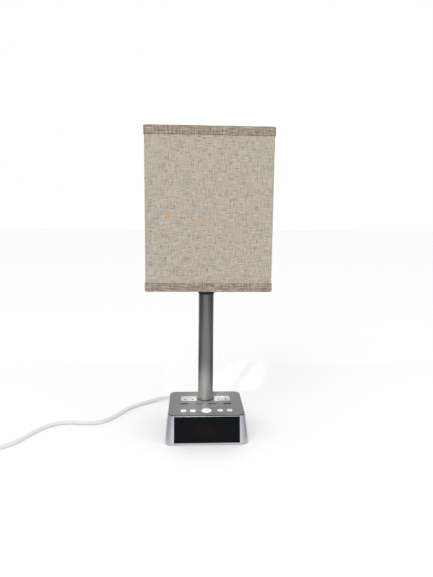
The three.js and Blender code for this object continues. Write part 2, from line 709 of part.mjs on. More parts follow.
function addOutlets() {
  add("outlet_left", outletInsert(-OUTLET_X), outletPlastic);
  add("outlet_right", outletInsert(OUTLET_X), outletPlastic);
  add("hot_bus_bar", bladeBus(-1, HOT_BUS_BOTTOM), brass);
  add("neutral_bus_bar", bladeBus(1, HOT_BUS_BOTTOM - BUS_STEP), brass);
  add("ground_bus_bar", groundBus(), brass);
}

function usbShell(x) {
  const hollow = 2 * USB_WALL;
  return cut(
    block(USB_WIDTH, USB_DEPTH, USB_HEIGHT, x, USB_Y, USB_BOTTOM),
    block(USB_WIDTH - hollow, USB_DEPTH - hollow, USB_HEIGHT + 2 * THROUGH, x, USB_Y, USB_BOTTOM - THROUGH),
  );
}

// The black carrier under the four ports, with one contact tongue standing in each.
function usbCarrier() {
  const span = USB_X[USB_X.length - 1] - USB_X[0] + USB_WIDTH;
  const middle = (USB_X[0] + USB_X[USB_X.length - 1]) / 2;
  const bar = block(span, USB_DEPTH, CARRIER_THICKNESS, middle, USB_Y, CARRIER_BOTTOM);
  const height = BASE_HEIGHT - TONGUE.below - CARRIER_BOTTOM;
  const tongues = USB_X.map((x) => (
    block(TONGUE.width, TONGUE.thickness, height, x, USB_Y + TONGUE.offset, CARRIER_BOTTOM)
  ));
  return join(bar, ...tongues);
}

function addUsbPorts() {
  USB_X.forEach((x, i) => add(`usb_shell_${i + 1}`, usbShell(x), steel));
  add("usb_carrier", usbCarrier(), blackPlastic);
  const bottom = CARRIER_BOTTOM - GAP - BOARD_THICKNESS;
  add("usb_board", block(USB_BOARD_WIDTH, USB_BOARD_DEPTH, BOARD_THICKNESS, 0, USB_Y, bottom), boardGreen);
}

function buttonCap({ x, radius }) {
  const flangeTop = PLATE_UNDERSIDE - GAP;
  const flangeBottom = flangeTop - BUTTON_FLANGE_HEIGHT;
  const stemBottom = BUTTON_BOARD_TOP + SWITCH.height + BUTTON_TRAVEL + GAP / 2;
  const top = BASE_HEIGHT + BUTTON_PROUD;
  const edge = 0.5;
  return turned([
    [0, stemBottom],
    [BUTTON_STEM_RADIUS, stemBottom],
    [BUTTON_STEM_RADIUS, flangeBottom],
    [radius + BUTTON_FLANGE, flangeBottom],
    [radius + BUTTON_FLANGE, flangeTop],
    [radius, flangeTop],
    [radius, top - edge],
    [radius - edge, top],
    [0, top],
  ], x, BUTTON_Y, 24);
}

function addButtons() {
  BUTTONS.forEach((button) => add(button.name, buttonCap(button), whitePlastic));
  const bottom = BUTTON_BOARD_TOP - BOARD_THICKNESS;
  const panel = block(BUTTON_BOARD_WIDTH, BUTTON_BOARD_DEPTH, BOARD_THICKNESS, 0, BUTTON_Y, bottom);
  const switches = BUTTONS.map(({ x }) => (
    block(SWITCH.width, SWITCH.width, SWITCH.height + 1, x, BUTTON_Y, BUTTON_BOARD_TOP - 1)
  ));
  add("button_board", join(panel, ...switches), boardGreen);
}

function hexNut(bottom) {
  const body = post(NUT_RADIUS, NUT_HEIGHT, 0, 0, bottom, 6);
  return cut(body, post(ROD_RADIUS + GAP, NUT_HEIGHT + 2 * THROUGH, 0, 0, bottom - THROUGH));
}

function addPole() {
  const collarTop = COLLAR_BOTTOM + COLLAR_HEIGHT;
  add("pole_collar", ringAround(ROD_RADIUS + GAP, COLLAR_RADIUS, COLLAR_BOTTOM, collarTop), satinSilver);
  add("pole_tube", ringAround(POLE_RADIUS - POLE_WALL, POLE_RADIUS, POLE_BOTTOM, POLE_TOP), satinSilver);
  const rodBottom = PLATE_UNDERSIDE - ROD_BELOW_PLATE;
  const rodTop = POLE_TOP + ROD_ABOVE_POLE;
  add("threaded_rod", ringAround(ROD_BORE, ROD_RADIUS, rodBottom, rodTop, 0, 0, 16), steel);
  add("rod_nut", hexNut(PLATE_UNDERSIDE - GAP - NUT_HEIGHT), steel);
}

// The black cup flares out of the pole and ends in the rim that carries the shade's ring.
function socketCup() {
  const rimBottom = CUP_TOP - SEAT_HEIGHT;
  const floorTop = CUP_BOTTOM + CUP_FLOOR;
  const hole = ROD_RADIUS + GAP;
  const wide = SOCKET_RADIUS - CUP_WALL;
  return turned([
    [hole, CUP_BOTTOM],
    ...CUP_SIDE.map(([radius, height]) => [radius, CUP_BOTTOM + height]),
    [SOCKET_RADIUS, rimBottom - 1],
    [SEAT_RADIUS, rimBottom],
    [SEAT_RADIUS, CUP_TOP],
    [wide, CUP_TOP],
    [wide, CUP_BOTTOM + 16],
    [POLE_RADIUS, floorTop],
    [hole, floorTop],
    [hole, CUP_BOTTOM],
  ]);
}

function addSocket() {
  add("socket_cup", socketCup(), blackPlastic);
  const top = SOCKET_BOTTOM + SOCKET_HEIGHT;
  const body = turned([
    [0, SOCKET_BOTTOM],
    [SOCKET_RADIUS, SOCKET_BOTTOM],
    [SOCKET_RADIUS, top],
    [SOCKET_BORE, top],
    [SOCKET_BORE, SOCKET_FLOOR_TOP],
    [0, SOCKET_FLOOR_TOP],
  ]);
  add("socket_body", body, blackPlastic);
  const shellOuter = SOCKET_BORE - GAP;
  const shellInner = shellOuter - SCREW_SHELL_WALL;
  add("screw_shell", ringAround(shellInner, shellOuter, SOCKET_FLOOR_TOP + GAP, top - 1), brass);
  const ringInner = SOCKET_RADIUS + GAP;
  add(
    "shade_clamp_ring",
    ringAround(ringInner, CLAMP_RING_RADIUS, CLAMP_RING_BOTTOM, CLAMP_RING_BOTTOM + CLAMP_RING_HEIGHT),
    blackPlastic,
  );
}

function addBulb() {
  const tip = BULB_BASE_BOTTOM;
  const baseTop = tip + BULB_BASE_HEIGHT;
  add("bulb_base", turned([
    [0, tip],
    [5, tip],
    [9, tip + 3],
    [BULB_BASE_RADIUS, tip + 5],
    [BULB_BASE_RADIUS, baseTop],
    [0, baseTop],
  ]), bulbMetal);
  const crown = BULB_BOTTOM + BULB_HEIGHT;
  const centre = crown - BULB_RADIUS;
  const dome = (radius) => [0, 1, 2, 3, 4, 5].map((step) => {
    const angle = DOME_START + (step / DOME_STEPS) * (Math.PI / 2 - DOME_START);
    return [Math.max(0, radius * Math.cos(angle)), centre + radius * Math.sin(angle)];
  });
  const outside = [
    [BULB_BASE_RADIUS, BULB_BOTTOM],
    [BULB_BASE_RADIUS + 1.5, BULB_BOTTOM + 12],
    ...dome(BULB_RADIUS),
  ];
  outside[outside.length - 1][0] = 0;
  const inside = [
    [BULB_BASE_RADIUS - BULB_WALL, BULB_BOTTOM],
    [BULB_BASE_RADIUS + 1.5 - BULB_WALL, BULB_BOTTOM + 12],
    ...dome(BULB_RADIUS - BULB_WALL),
  ];
  inside[inside.length - 1][0] = 0;
  add("bulb_globe", turned([...outside, ...inside.reverse(), outside[0]], 0, 0, 24), frosted);
}

// A square ring between an outer and an inner width.
function squareRing(outer, inner, bottom, top) {
  const outerCorner = SHADE_CORNER + (outer - SHADE_WIDTH) / 2;
  const innerCorner = Math.max(1, SHADE_CORNER + (inner - SHADE_WIDTH) / 2);
  return cut(
    slab(centredSection(outer, outer, outerCorner), bottom, top),
    slab(centredSection(inner, inner, innerCorner), bottom - THROUGH, top + THROUGH),
  );
}

const LINEN_INNER = SHADE_WIDTH - 2 * SHADE_WALL;
const TAPE_OUTER_WIDTH = SHADE_WIDTH + 2 * TAPE_OUTSIDE;
const TAPE_INNER_WIDTH = LINEN_INNER - 2 * (GAP + TAPE_INSIDE);
const FRAME_OUTER_WIDTH = TAPE_INNER_WIDTH - 2 * GAP;

// Tape folded over the linen's edge. The groove holds the linen.
function foldedTape(bottom, top, grooveBottom, grooveTop) {
  const whole = squareRing(TAPE_OUTER_WIDTH, TAPE_INNER_WIDTH, bottom, top);
  return cut(whole, squareRing(SHADE_WIDTH + 2 * GAP, LINEN_INNER - 2 * GAP, grooveBottom, grooveTop));
}

function wireSquare(bottom) {
  return squareRing(FRAME_OUTER_WIDTH, FRAME_OUTER_WIDTH - 2 * FRAME_WIRE, bottom, bottom + FRAME_WIRE);
}

// The lower frame hangs the shade on the socket: a ring, four spokes and the square wire.
function lowerFrame() {
  const wireBottom = SHADE_BOTTOM + FRAME_INSET;
  const ringInner = SOCKET_RADIUS + GAP;
  const ringOuter = ringInner + SHADE_RING_WIDTH;
  const ringTop = SHADE_RING_BOTTOM + SHADE_RING_THICKNESS;
  const from = new THREE.Vector3(ringOuter - 0.6, 0, ringTop - SPOKE_RADIUS + 0.4);
  const to = new THREE.Vector3((FRAME_OUTER_WIDTH - FRAME_WIRE) / 2, 0, wireBottom + FRAME_WIRE / 2);
  const run = to.clone().sub(from);
  const spokes = [0, 1, 2, 3].map((quarter) => {
    const spoke = new THREE.CylinderGeometry(SPOKE_RADIUS, SPOKE_RADIUS, run.length(), 8);
    spoke.rotateZ(Math.PI / 2).rotateY(-Math.atan2(run.z, run.x));
    spoke.translate((from.x + to.x) / 2, 0, (from.z + to.z) / 2);
    return spoke.rotateZ((quarter * Math.PI) / 2);
  });
  const ring = ringAround(ringInner, ringOuter, SHADE_RING_BOTTOM, ringTop);
  const clear = post(ringInner, 4 * SHADE_RING_THICKNESS, 0, 0, SHADE_RING_BOTTOM - SHADE_RING_THICKNESS, 32);
  return cut(join(wireSquare(wireBottom), ring, ...spokes), clear);
}

function addShade() {
  const linenBottom = SHADE_BOTTOM + TAPE_FOLD + GAP;
  const linenTop = SHADE_TOP - TAPE_FOLD - GAP;
  add("shade_linen", squareRing(SHADE_WIDTH, LINEN_INNER, linenBottom, linenTop), linen);
  const upper = foldedTape(
    SHADE_TOP - TAPE_HEIGHT, SHADE_TOP, SHADE_TOP - TAPE_HEIGHT - THROUGH, SHADE_TOP - TAPE_FOLD,
  );
  add("shade_tape_top", joinedTape(upper, SHADE_TOP - TAPE_FOLD), tape);
  const lower = foldedTape(
    SHADE_BOTTOM, SHADE_BOTTOM + TAPE_HEIGHT, SHADE_BOTTOM + TAPE_FOLD, SHADE_BOTTOM + TAPE_HEIGHT + THROUGH,
  );
  add("shade_tape_bottom", joinedTape(lower, SHADE_BOTTOM), tape);
  add("shade_frame_top", wireSquare(SHADE_TOP - FRAME_INSET - FRAME_WIRE), steel);
  add("shade_frame_bottom", lowerFrame(), steel);
}

// The fold that joins the tape's outer and inner sides.
function joinedTape(sides, bottom) {
  return join(sides, squareRing(TAPE_OUTER_WIDTH, TAPE_INNER_WIDTH, bottom, bottom + TAPE_FOLD));
}

function swept(points, radius, steps) {
  const circle = new THREE.Shape();
  for (let i = 0; i < CORD_SIDES; i += 1) {
    const angle = (i / CORD_SIDES) * 2 * Math.PI;
    circle[i === 0 ? "moveTo" : "lineTo"](radius * Math.cos(angle), radius * Math.sin(angle));
  }
  const curve = new THREE.CatmullRomCurve3(points.map((point) => new THREE.Vector3(...point)));
  return new THREE.ExtrudeGeometry(circle, { extrudePath: curve, steps });
}

// The strain relief: a nut inside the wall, a neck through it and a tapered boot outside.
function cordGland() {
  const wallInside = housingSection(GLAND_HEIGHT + GLAND_FLANGE, WALL).rear;
  const profile = [
    [0, wallInside - GAP - GLAND_INSIDE],
    [GLAND_FLANGE, wallInside - GAP - GLAND_INSIDE],
    [GLAND_FLANGE, wallInside - GAP],
    [GLAND_NECK, wallInside - GAP],
    [GLAND_NECK, BOOT_START],
    [GLAND_FLANGE, BOOT_START],
    [GLAND_FLANGE, BOOT_START + GLAND_FLANGE_THICKNESS],
    [GLAND_BOOT, BOOT_START + GLAND_FLANGE_THICKNESS],
    [CORD_RADIUS + 0.9, BOOT_END],
    [0, BOOT_END],
  ];
  return turned(profile, 0, 0, 20).rotateX(-Math.PI / 2).translate(GLAND_X, 0, GLAND_HEIGHT);
}

function addCord() {
  add("cord_gland", cordGland(), whiteCord);
  add("mains_cord", swept(CORD_ROUTE, CORD_RADIUS, CORD_STEPS), whiteCord);
  const coilTop = COIL_LIFT + COIL_HEIGHT;
  add("cord_coil", ringAround(COIL_INNER, COIL_OUTER, COIL_LIFT, coilTop, COIL_X, COIL_Y), whiteCord);
  const tieInner = Math.sqrt(COIL_INNER ** 2 - (TIE_WIDTH / 2) ** 2) - GAP - TIE_THICKNESS;
  const tieOuter = COIL_OUTER + GAP + TIE_THICKNESS;
  const tieMiddle = COIL_Y + (tieInner + tieOuter) / 2;
  const tieBand = cut(
    block(TIE_WIDTH, tieOuter - tieInner, coilTop + GAP + TIE_THICKNESS, COIL_X, tieMiddle, 0),
    block(
      TIE_WIDTH + 2 * THROUGH, tieOuter - tieInner - 2 * TIE_THICKNESS, coilTop + GAP - TIE_THICKNESS,
      COIL_X, tieMiddle, TIE_THICKNESS,
    ),
  );
  add("cord_tie", tieBand, blackPlastic);
}

// The last of the cord leaves the coil's top turn on its far side and runs back to the plug.
function addPlug() {
  const x = COIL_X - COIL_TURN_OUTER;
  const clearOfCoil = (COIL_OUTER + 1.5 * GAP) ** 2 - (COIL_TURN_OUTER - CORD_RADIUS) ** 2;
  const tailStart = COIL_Y + Math.sqrt(clearOfCoil);
  const bodyRear = tailStart + TAIL_LENGTH;
  const plugHeight = PLUG.height / 2;
  const tail = [
    [x, tailStart, TOP_TURN_HEIGHT],
    [x, tailStart + TAIL_LENGTH * 0.35, TOP_TURN_HEIGHT + 0.2],
    [x, tailStart + TAIL_LENGTH * 0.7, plugHeight - 0.2],
    [x, bodyRear - GAP, plugHeight],
  ];
  add("cord_tail", swept(tail, CORD_RADIUS, 4), whiteCord);
  const neck = new THREE.CylinderGeometry(PLUG.neck, CORD_RADIUS + 0.9, PLUG.neckLength + 1, 16)
    .translate(x, bodyRear + (PLUG.neckLength + 1) / 2, plugHeight);
  const face = bodyRear + PLUG.neckLength + PLUG.length;
  const outline = centredSection(PLUG.width, PLUG.height, 6, 0, 0);
  const body = new THREE.ExtrudeGeometry(new THREE.Shape(roundedOutline(outline)), {
    depth: PLUG.length,
    bevelEnabled: false,
  }).rotateX(Math.PI / 2).translate(x, face, plugHeight);
  add("plug_body", join(body, neck), whiteCord);
  const bladeHeight = plugHeight + BLADE.rise - BLADE.width / 2;
  const bladeMiddle = face + GAP + BLADE.length / 2;
  for (const [name, side] of [["plug_blade_hot", -1], ["plug_blade_neutral", 1]]) {
    const bladeX = x + side * BLADE_SPACING / 2;
    add(name, block(BLADE.thickness, BLADE.length, BLADE.width, bladeX, bladeMiddle, bladeHeight), steel);
  }
  const pin = post(PIN_RADIUS, PIN_LENGTH, 0, 0, 0, 12).rotateX(-Math.PI / 2)
    .translate(x, face + GAP, plugHeight - PIN_DROP);
  add("plug_ground_pin", pin, steel);
}

addHousing();
addClockFront();
addPowerBoard();
addOutlets();
addUsbPorts();
addButtons();
addPole();
addSocket();
addBulb();
addShade();
addCord();
addPlug();

export default lamp;
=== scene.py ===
"""The looks of a bedside lamp that stands on an alarm clock, laid out as a Blender add-on.

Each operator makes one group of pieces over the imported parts, and main() calls them in order.
Shapes are written in millimetres, +Z up, with the pole's axis at x = y = 0 and the table at z = 0,
and are scaled to metres as their meshes are made. -Y is the front, where the clock is read.
"""

import json
import math

import bmesh
import bpy
from mathutils import Matrix, Vector, noise

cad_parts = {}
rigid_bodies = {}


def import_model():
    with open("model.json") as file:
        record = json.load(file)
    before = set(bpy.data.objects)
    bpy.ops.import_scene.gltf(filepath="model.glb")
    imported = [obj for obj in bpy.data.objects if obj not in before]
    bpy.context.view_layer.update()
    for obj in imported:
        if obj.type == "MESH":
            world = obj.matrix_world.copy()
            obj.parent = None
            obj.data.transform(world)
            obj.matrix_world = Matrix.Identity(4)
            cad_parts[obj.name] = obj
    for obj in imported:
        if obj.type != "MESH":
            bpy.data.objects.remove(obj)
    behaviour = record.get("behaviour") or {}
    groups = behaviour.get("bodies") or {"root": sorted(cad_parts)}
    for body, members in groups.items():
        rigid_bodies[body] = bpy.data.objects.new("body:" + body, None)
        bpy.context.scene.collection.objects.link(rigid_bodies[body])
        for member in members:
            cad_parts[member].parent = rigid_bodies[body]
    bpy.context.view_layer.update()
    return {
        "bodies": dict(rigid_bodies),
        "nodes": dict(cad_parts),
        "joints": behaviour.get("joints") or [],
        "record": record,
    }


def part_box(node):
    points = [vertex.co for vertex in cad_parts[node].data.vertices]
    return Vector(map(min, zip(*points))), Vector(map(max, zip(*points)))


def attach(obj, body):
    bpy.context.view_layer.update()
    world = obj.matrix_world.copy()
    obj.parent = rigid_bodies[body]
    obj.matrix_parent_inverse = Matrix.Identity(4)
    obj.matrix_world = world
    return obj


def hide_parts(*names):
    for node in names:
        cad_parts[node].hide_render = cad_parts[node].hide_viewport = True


bl_info = {
    "name": "Alarm Clock Lamp",
    "version": (1, 0, 0),
    "blender": (4, 5, 0),
    "location": "View3D > Sidebar > Lamp",
    "description": "Builds the looks of a bedside lamp that stands on an alarm clock",
    "category": "Object",
}

MM = 0.001
ROOT = "root"
FRAME = {}
MATERIALS = {}  # slot name -> material, made once each


# -------------------- shader expressions
class Wire:
    """An output of a shader node that plain arithmetic can be done on."""

    def __init__(self, tree, socket):
        self.tree = tree
        self.socket = socket

    def math(self, operation, *others):
        node = self.tree.nodes.new("ShaderNodeMath")
        node.operation = operation
        for target, value in zip(node.inputs, (self, *others)):
            feed(self.tree, target, value)
        return Wire(self.tree, node.outputs[0])

    def __add__(self, other):
        return self.math("ADD", other)

    def __sub__(self, other):
        return self.math("SUBTRACT", other)

    def __mul__(self, other):
        return self.math("MULTIPLY", other)

    def __truediv__(self, other):
        return self.math("DIVIDE", other)

    def __pow__(self, other):
        return self.math("POWER", other)

    def __lt__(self, other):
        return self.math("LESS_THAN", other)

    def __abs__(self):
        return self.math("ABSOLUTE")

    def sine(self):
        return self.math("SINE")

    def most(self, other):
        return self.math("MAXIMUM", other)

    def step(self, start, end):
        """0 below start, 1 above end, and smooth between them."""
        node = self.tree.nodes.new("ShaderNodeMapRange")
        node.interpolation_type = "SMOOTHSTEP"
        for name, value in (("Value", self), ("From Min", start), ("From Max", end)):
            feed(self.tree, node.inputs[name], value)
        return Wire(self.tree, node.outputs["Result"])


def feed(tree, target, value):
    """Links a Wire to an input, or sets the input to a constant."""
    if isinstance(value, Wire):
        tree.links.new(value.socket, target)
    elif hasattr(value, "__len__") and len(value) == 3 and target.type == "RGBA":
        target.default_value = (*value, 1)
    else:
        target.default_value = value


class Finish:
    """A material in the making: its tree, its surface shader and the place on the object."""

    def __init__(self, name, colour, roughness, metallic=0.0, **constants):
        self.material = bpy.data.materials.new(name)
        self.material.use_nodes = True
        self.tree = self.material.node_tree
        self.surface = self.tree.nodes["Principled BSDF"]
        self.give("Base Color", colour)
        self.give("Roughness", roughness)
        self.give("Metallic", metallic)
        for key, value in constants.items():
            self.give(key.replace("_", " ").title().replace("Ior", "IOR"), value)
        self.place = self.node("ShaderNodeTexCoord", "Object")
        split = self.tree.nodes.new("ShaderNodeSeparateXYZ")
        feed(self.tree, split.inputs[0], self.place)
        self.x, self.y, self.z = (Wire(self.tree, output) for output in split.outputs)

    def node(self, kind, output, settings=None, **values):
        """A node of this kind, with its inputs set or linked; returns the named output."""
        node = self.tree.nodes.new(kind)
        for key, value in (settings or {}).items():
            setattr(node, key, value)
        for key, value in values.items():
            named = {**{s.name: s for s in node.inputs}, **{s.identifier: s for s in node.inputs}}
            feed(self.tree, named[key], value)
        return Wire(self.tree, node.outputs[output])

    def give(self, name, value):
        feed(self.tree, self.surface.inputs[name], value)

    def base(self):
        """The colour that is linked to the surface so far."""
        return Wire(self.tree, self.surface.inputs["Base Color"].links[0].from_socket)

    def vector(self, x, y, z):
        return self.node("ShaderNodeCombineXYZ", "Vector", X=x, Y=y, Z=z)

    def noise(self, vector, scale, detail=2.0):
        return self.node("ShaderNodeTexNoise", 0, Vector=vector, Scale=scale, Detail=detail)

    def colours(self, factor, first, second):
        """first where factor is 0 and second where it is 1."""
        mixed = {"data_type": "RGBA"}
        values = {"Factor_Float": factor, "A_Color": first, "B_Color": second}
        return self.node("ShaderNodeMix", 2, mixed, **values)

    def bump(self, height, distance, strength=1.0):
        values = {"Height": height, "Distance": distance, "Strength": strength}
        self.give("Normal", self.node("ShaderNodeBump", "Normal", **values))

    def attribute(self, name):
        return self.node("ShaderNodeAttribute", "Fac", {"attribute_name": name})


# -------------------- finishes
def speckled(name, colour, roughness, amount, scale, **constants):
    """A plain finish with a fine uneven tone and a fine grain."""
    finish = Finish(name, colour, roughness, **constants)
    grain = finish.noise(finish.place, scale, 3.0)
    dark = tuple(channel * (1 - amount) for channel in colour)
    light = tuple(min(1, channel * (1 + amount)) for channel in colour)
    finish.give("Base Color", finish.colours(grain.step(0.3, 0.7), dark, light))
    finish.give("Roughness", grain * 0.1 + (roughness - 0.05))
    finish.bump(grain, 0.00002, 0.5)
    return finish.material


def brushed(name, colour, roughness, metallic):
    """Metal with fine upright brush lines."""
    finish = Finish(name, colour, roughness, metallic)
    along = finish.vector(finish.x * 2200, finish.y * 2200, finish.z * 9)
    lines = finish.noise(along, 1.0, 2.0)
    cloud = finish.noise(finish.place, 45.0)
    dark = tuple(channel * 0.9 for channel in colour)
    finish.give("Base Color", finish.colours(lines.step(0.3, 0.7), dark, colour))
    finish.give("Roughness", lines * 0.12 + cloud * 0.08 + (roughness - 0.1))
    finish.bump(lines, 0.00001, 0.4)
    return finish.material


def woven(name, colour, dark, threads=0.3, lines=()):
    """Linen: a fine grid of uneven threads with dark slubs both ways.

    The mesh's attribute "around" runs along the cloth. Each of lines is a band of painted shade
    along a crease or a tape's edge, as its height and reach in millimetres and its depth."""
    finish = Finish(name, colour, 0.92, specular_ior_level=0.2, sheen_weight=0.1)
    around = finish.attribute("around")
    z = finish.z
    weave = math.tau / 0.0009  # a thread every 0.9 mm
    drift = finish.noise(finish.vector(around * 30, z * 30, 0.0), 1.0)
    across = (around * weave + drift * 9).sine()
    upward = (z * weave + drift * 7).sine()
    grid = across * 0.25 + upward * 0.25 + 0.5
    level = finish.noise(finish.vector(around * 60, z * 1150, 3.0), 1.0, 1.0)
    upright = finish.noise(finish.vector(around * 1150, z * 60, 9.0), 1.0, 1.0)
    tone = level.step(0.25, 0.75) * 0.5 + upright.step(0.25, 0.75) * 0.5
    pale = tuple(min(1, channel * (1 + 0.45 * threads)) for channel in colour)
    deep = tuple(channel * (1 - 0.75 * threads) for channel in colour)
    base = finish.colours(tone.step(0.2, 0.8), deep, pale)
    long_slub = finish.noise(finish.vector(around * 130, z * 850, 21.0), 1.0, 0.0).step(0.67, 0.8)
    tall_slub = finish.noise(finish.vector(around * 850, z * 120, 33.0), 1.0, 0.0).step(0.69, 0.82)
    slubs = long_slub.most(tall_slub)
    base = finish.colours(slubs * 0.8, base, dark)
    base = finish.colours(grid * 0.2, base, tuple(c * 0.8 for c in colour))
    # painted shade: each line darkens the cloth along a crease or a tape's edge, where shade falls
    for height, reach, depth in lines:
        away = abs(z - height * MM + drift * 0.0012 - 0.0006)
        near = away.step(reach * MM, reach * MM * 0.2) * depth
        base = finish.colours(near, base, tuple(c * 0.5 for c in dark))
    finish.give("Base Color", base)
    finish.give("Roughness", drift * 0.08 + 0.86)
    finish.bump(grid * 0.4 + tone * 0.6 + slubs * 0.8, 0.0003, 0.7)
    return finish


def linen():
    finish = woven("linen", (0.424, 0.376, 0.319), (0.125, 0.105, 0.088))
    stained = finish.base()
    for x, z, reach in STAINS:
        away = ((finish.x - x * MM) ** 2.0 + (finish.z - z * MM) ** 2.0) ** 0.5
        ragged = away + finish.noise(finish.place, 420.0) * 0.014 - 0.007
        front = finish.y < STAINED_FACE
        spot = ragged.step(reach * MM, reach * MM * 0.2) * front * 0.5
        stained = finish.colours(spot, stained, (0.50, 0.29, 0.13))
    finish.give("Base Color", stained)
    return finish.material


def linen_tape():
    # painted shade: dark bands at each tape's free edge and at the crease of its fold
    edges = [(SHADE_TOP - TAPE_HEIGHT, 0.9, 0.75), (SHADE_TOP - 8.2, 0.5, 0.35)]
    edges += [(SHADE_BOTTOM + TAPE_HEIGHT, 0.6, 0.3), (SHADE_BOTTOM + 4.3, 0.5, 0.3)]
    pale, dark = (0.39, 0.335, 0.272), (0.12, 0.10, 0.08)
    finish = woven("linen_tape", pale, dark, threads=0.68, lines=edges)
    base = finish.base()
    around = finish.attribute("around")
    # painted shade: dark slanting streaks that darken the tape's wrinkles
    slanted = finish.vector(around * 55 + finish.z * 60, finish.z * 520, 1.0)
    painted_wrinkle_shade = finish.noise(slanted, 1.0, 3.0).step(0.62, 0.36)
    finish.give("Base Color", finish.colours(painted_wrinkle_shade * 0.6, base, (0.13, 0.105, 0.08)))
    return finish.material


def window_black():
    finish = Finish("window_black", (0.004, 0.004, 0.005), 0.07, ior=1.16)
    smear = finish.noise(finish.place, 60.0)
    across = finish.x / GLOW_HALF_WIDTH
    upward = (finish.z - GLOW_MIDDLE) / GLOW_HALF_HEIGHT
    glow = (across ** 2.0 + upward ** 2.0).step(1.0, 0.1)
    red = finish.colours(glow * 0.8, (0.003, 0.004, 0.005), (0.012, 0.005, 0.006))
    finish.give("Base Color", red)
    finish.give("Roughness", smear * 0.06 + 0.05)
    return finish.material


def circuit_board():
    green = (0.02, 0.12, 0.05)
    finish = Finish("circuit_board", green, 0.4)
    tracks = (finish.x * 1600).sine() * (finish.y * 1600).sine()
    patch = finish.noise(finish.place, 160.0).step(0.48, 0.52)
    copper = tracks.step(0.2, 0.35) * patch
    finish.give("Base Color", finish.colours(copper, green, (0.06, 0.24, 0.09)))
    finish.bump(copper, 0.00003)
    return finish.material


def frosted_globe():
    milky = {"subsurface_weight": 0.3, "subsurface_scale": 0.01}
    finish = Finish("frosted_globe", (0.86, 0.85, 0.81), 0.4, **milky)
    cloud = finish.noise(finish.place, 90.0)
    finish.give("Roughness", cloud * 0.15 + 0.3)
    return finish.material


SPECKLED = {  # slot: colour, roughness, unevenness, grain, other constants
    "satin_silver": ((0.535, 0.535, 0.575), 0.36, 0.03, 2600.0, {"metallic": 0.5}),
    "plate_grey": ((0.206, 0.206, 0.202), 0.5, 0.16, 1500.0, {"metallic": 0.35}),
    "black_plastic": ((0.011, 0.011, 0.012), 0.5, 0.2, 900.0, {"ior": 1.35}),
    "button_white": ((0.83, 0.83, 0.83), 0.36, 0.02, 900.0, {}),
    "outlet_white": ((0.50, 0.50, 0.495), 0.4, 0.03, 900.0, {}),
    "digit_face": ((0.008, 0.005, 0.006), 0.12, 0.1, 900.0, {"ior": 1.16}),
    "foot_rubber": ((0.018, 0.018, 0.018), 0.85, 0.25, 900.0, {}),
    "cord_white": ((0.74, 0.74, 0.75), 0.42, 0.03, 500.0, {}),
}
BRUSHED = {  # slot: colour, roughness, metallic
    "pole_metal": ((0.175, 0.18, 0.172), 0.34, 0.6),
    "plain_steel": ((0.36, 0.36, 0.355), 0.34, 1.0),
    "contact_brass": ((0.72, 0.52, 0.2), 0.28, 1.0),
    "bulb_cap": ((0.7, 0.7, 0.68), 0.25, 1.0),
}
OTHERS = {
    "linen": linen,
    "linen_tape": linen_tape,
    "window_black": window_black,
    "circuit_board": circuit_board,
    "frosted_globe": frosted_globe,
}


def material(slot):
    """The finish of a slot, made the first time that it is asked for."""
    if slot in MATERIALS:
        return MATERIALS[slot]
    if slot in SPECKLED:
        *values, constants = SPECKLED[slot]
        MATERIALS[slot] = speckled(slot, *values, **constants)
    elif slot in BRUSHED:
        MATERIALS[slot] = brushed(slot, *BRUSHED[slot])
    else:
        MATERIALS[slot] = OTHERS[slot]()
    return MATERIALS[slot]


# -------------------- sizes, in millimetres where nothing else is said
PLATE_TOP = 46.0
PLATE_WIDTH = 121.0
PLATE_DEPTH = 105.5
PLATE_BACK = 21.05  # how far the plate's middle is in front of the pole
SHADE_WIDTH = 187.0
SHADE_BOTTOM = 246.2
SHADE_TOP = 484.2
SHADE_CORNER = 5.0
TAPE_HEIGHT = 12.6
LINER_INNER = 1.4  # in from the shade's outside
CLOTH_INSET = 1.4  # the cloth's edges, in from the shade's ends
STAINS = ((-60.4, 357.0, 7.5), (-9.2, 349.0, 8.5))  # x, z, reach, on the front face
STAINED_FACE = -0.09  # metres: only what is in front of this can be stained
GLOW_MIDDLE, GLOW_HALF_WIDTH, GLOW_HALF_HEIGHT = 0.023, 0.020, 0.012  # metres, on the window
FRAME_REACH = 89.1  # from the pole's axis to the middle of the frames' wire
FRAME_WIRE = 1.5
FRAME_INSET = 4.9  # the frames' wire, in from the shade's ends
POLE_RADIUS = 12.5
POLE_INSIDE = POLE_RADIUS - 1.2
POLE_ENDS = (49.4, 228.0)
ROD_HOLE = 5.2  # radius of the hole that the threaded rod goes through
CUP_BOTTOM, CUP_FLOOR = 228.3, 231.9
SOCKET_BOTTOM, SOCKET_FLOOR, SOCKET_TOP = 262.6, 266.6, 291.6
CLAMP_ENDS = (264.9, 270.9)
BULB_CAP_ENDS = (269.6, 292.6)
BULB_ENDS = (292.9, 378.9)
BULB_RADIUS, BULB_WALL = 30, 1.2
CORD_RADIUS = 3.1
CORD_LIE = CORD_RADIUS + 0.03
EXIT = (-30.0, 64.1, 14.0)  # where the cord leaves its strain relief
CORD_DOWN = [  # from there down to the table
    EXIT,
    *((-30.3, 76.0, 13.8), (-33.5, 87.5, 13.0), (-40.5, 97.5, 11.4), (-51.0, 104.8, 9.4)),
    *((-63.5, 109.0, 7.4), (-76.5, 109.5, 5.8), (-89.5, 105.0, 4.4), (-102.6, 96.5, 3.5)),
]
